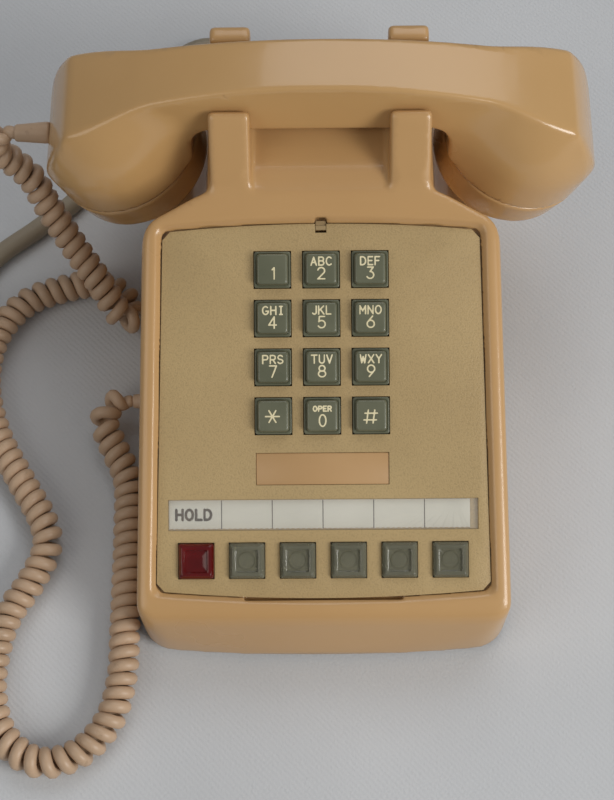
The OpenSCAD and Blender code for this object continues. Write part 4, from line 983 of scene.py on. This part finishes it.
# ------------------------ line keys
for i in range(6):
    node = "hold_key" if i == 0 else "line_key_%d" % i
    x, u = (i - 2.5) * LINE_PITCH, LINE_U
    plastic = CLEAR_KEY if i else RED_KEY
    sq = lambda h, half: [face_point(x + a, u + b, h) for a, b in rounded_square(half, 0.8, 4)]
    rows = [sq(-7.4, 4.3), sq(-7.6, 4.6), sq(-7.6, 6.6), sq(-7.4, 6.8), sq(1.1, 6.8), sq(1.35, 6.68), sq(2.35, 5.6),
            sq(2.4, 5.3), sq(2.4, 4.75), sq(2.2, 4.4), sq(1.3, 4.25), sq(1.15, 4.05)]
    if i == 0:
        rows = rows[2:9] + [sq(2.3, 4.5), sq(1.6, 4.1), sq(1.35, 3.0), sq(1.3, 1.2)]
    else:
        rows += [sq(1.12, 2.0)]
        rows = [sq(-0.55, 2.0), sq(-0.6, 4.3)] + rows
    body_mesh = loft("a", rows, material=plastic)
    legs = [loft("leg", [[face_point(x + s * 5.9 + a, u + b, h) for a, b in rounded_square(0.9 - d, 0.3, 2, 3 - d)]
                         for h, d in ((-22, 0.3), (-21.6, 0), (-7.0, 0))], material=plastic) for s in (-1, 1)]
    if i:
        ring = [[face_point(x + r * math.cos(a), u + r * math.sin(a), h) for a in circle(36)]
                for h, r in ((1.0, 3.55), (1.3, 3.5), (1.42, 3.35), (1.42, 3.15), (1.3, 3.02), (1.0, 3.0))]
        legs.append(loft("ring", ring + [ring[0]], capped=False, material=plastic))
    key = crisp(join("line_button_%d" % i if i else "line_button_hold", [body_mesh] + legs), 30)
    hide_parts(node)
    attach(key, NODES[node]["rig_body"])

rims = []
for i in range(1, 6):
    x, u = (i - 2.5) * LINE_PITCH, LINE_U
    prof = [(-9.0, 3.05), (-9.0, 3.9), (-5.2, 3.9), (-4.8, 3.7), (-4.8, 3.3), (-5.2, 3.05), (-6.0, 3.05)]
    rings = [[face_point(x + r * math.cos(a), u + r * math.sin(a), h) for a in circle(32)] for h, r in prof]
    rims.append(loft("rim", rings + [rings[0]], capped=False, material=IVORY))
lamp_rims = join("lamp_rims", rims)
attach(lamp_rims, "base")

hold_word = writing("strip_word", [("HOLD", 3.9, 0, 1.25)], 0.6, -1.16, INK, STRIP_U + 0.1, -2.5 * LINE_PITCH - 1.0,
                    depth=0.05, proud=0.06, cell=0.1, half=9.5)
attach(hold_word, "base")
bar = rounded_square(0.2, 0.05, 1, strip_l / 2 - 0.1)
bars = [face_slab("bar", bar, -1.2, -1.12, INK, STRIP_U + 0.1, k * LINE_PITCH, 0.02) for k in range(-2, 3)]
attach(join("strip_dividers", bars), "base")

# ------------------------ finishes of the CAD pieces that show as they are
LOOKS = {
    BOARD: ["dial_board", "terminal_board"], BRASS: ["dial_springs", "line_contacts", "hook_contacts", "gongs"],
    STEEL: ["base_plate", "housing_screws", "set_bracket", "line_key_frame", "latch_bar", "hook_frame", "hook_lever",
            "ringer_frame", "clapper", "receiver_unit", "transmitter_unit"],
    RUBBER: ["base_feet"], BLACK: ["dial_frame", "volume_wheel"], COPPER: ["ringer_coil"], POTTED: ["network_block"],
    IVORY: ["hook_plunger_left", "hook_plunger_right"], LAMP: ["line_lamps"], DARK_CUP: ["transmitter_cup"],
    LATCH: ["faceplate_latch"],
}
for material, names in LOOKS.items():
    for n in names:
        data = NODES[n].data
        data.materials.clear()
        data.materials.append(material)
        NODES[n].modifiers.new("edges", "BEVEL").width = 0.0002

# ------------------------ table and light
bpy.ops.mesh.primitive_plane_add(size=6, location=(0, 0, 0))
table_top = bpy.context.object
table_top.name = "table_top"
CLOTH = finish_of("pale_cloth", rgb(196, 198, 200), rgb(206, 208, 210), rough=(0.75, 0.9), grain=900,
                  bump=0.5, bump_size=0.0004, blotch=6, spec=0.2, weave=230.0)
table_top.data.materials.append(CLOTH)


def lamp(name, spot, aim, size, power, colour=(1, 1, 1)):
    """A rectangular light that looks at a point."""
    light = bpy.data.lights.new(name, "AREA")
    light.shape = "RECTANGLE"
    light.size, light.size_y = size
    light.energy = power
    light.color = colour
    obj = add(name, light)
    obj.location = spot
    obj.rotation_euler = (Vector(aim) - Vector(spot)).to_track_quat("-Z", "Y").to_euler()


lamp("window", (1.5, -0.95, 1.15), (0, 0, 0.05), (0.8, 1.1), 26.5, (1.0, 0.98, 0.95))
lamp("sky", (0.5, 1.3, 1.9), (0, 0, 0), (1.8, 1.2), 12.5, (0.97, 0.98, 1.0))
lamp("fill", (-1.4, -0.9, 1.6), (0, 0, 0), (1.4, 1.4), 8.5, (1.0, 0.93, 0.84))
world = bpy.data.worlds.new("room")
bpy.context.scene.world = world
world.use_nodes = True
sky = world.node_tree.nodes["Background"]
sky.inputs["Color"].default_value = (0.80, 0.84, 0.90, 1)
sky.inputs["Strength"].default_value = 0.24
bpy.context.scene.view_settings.view_transform = "Standard"
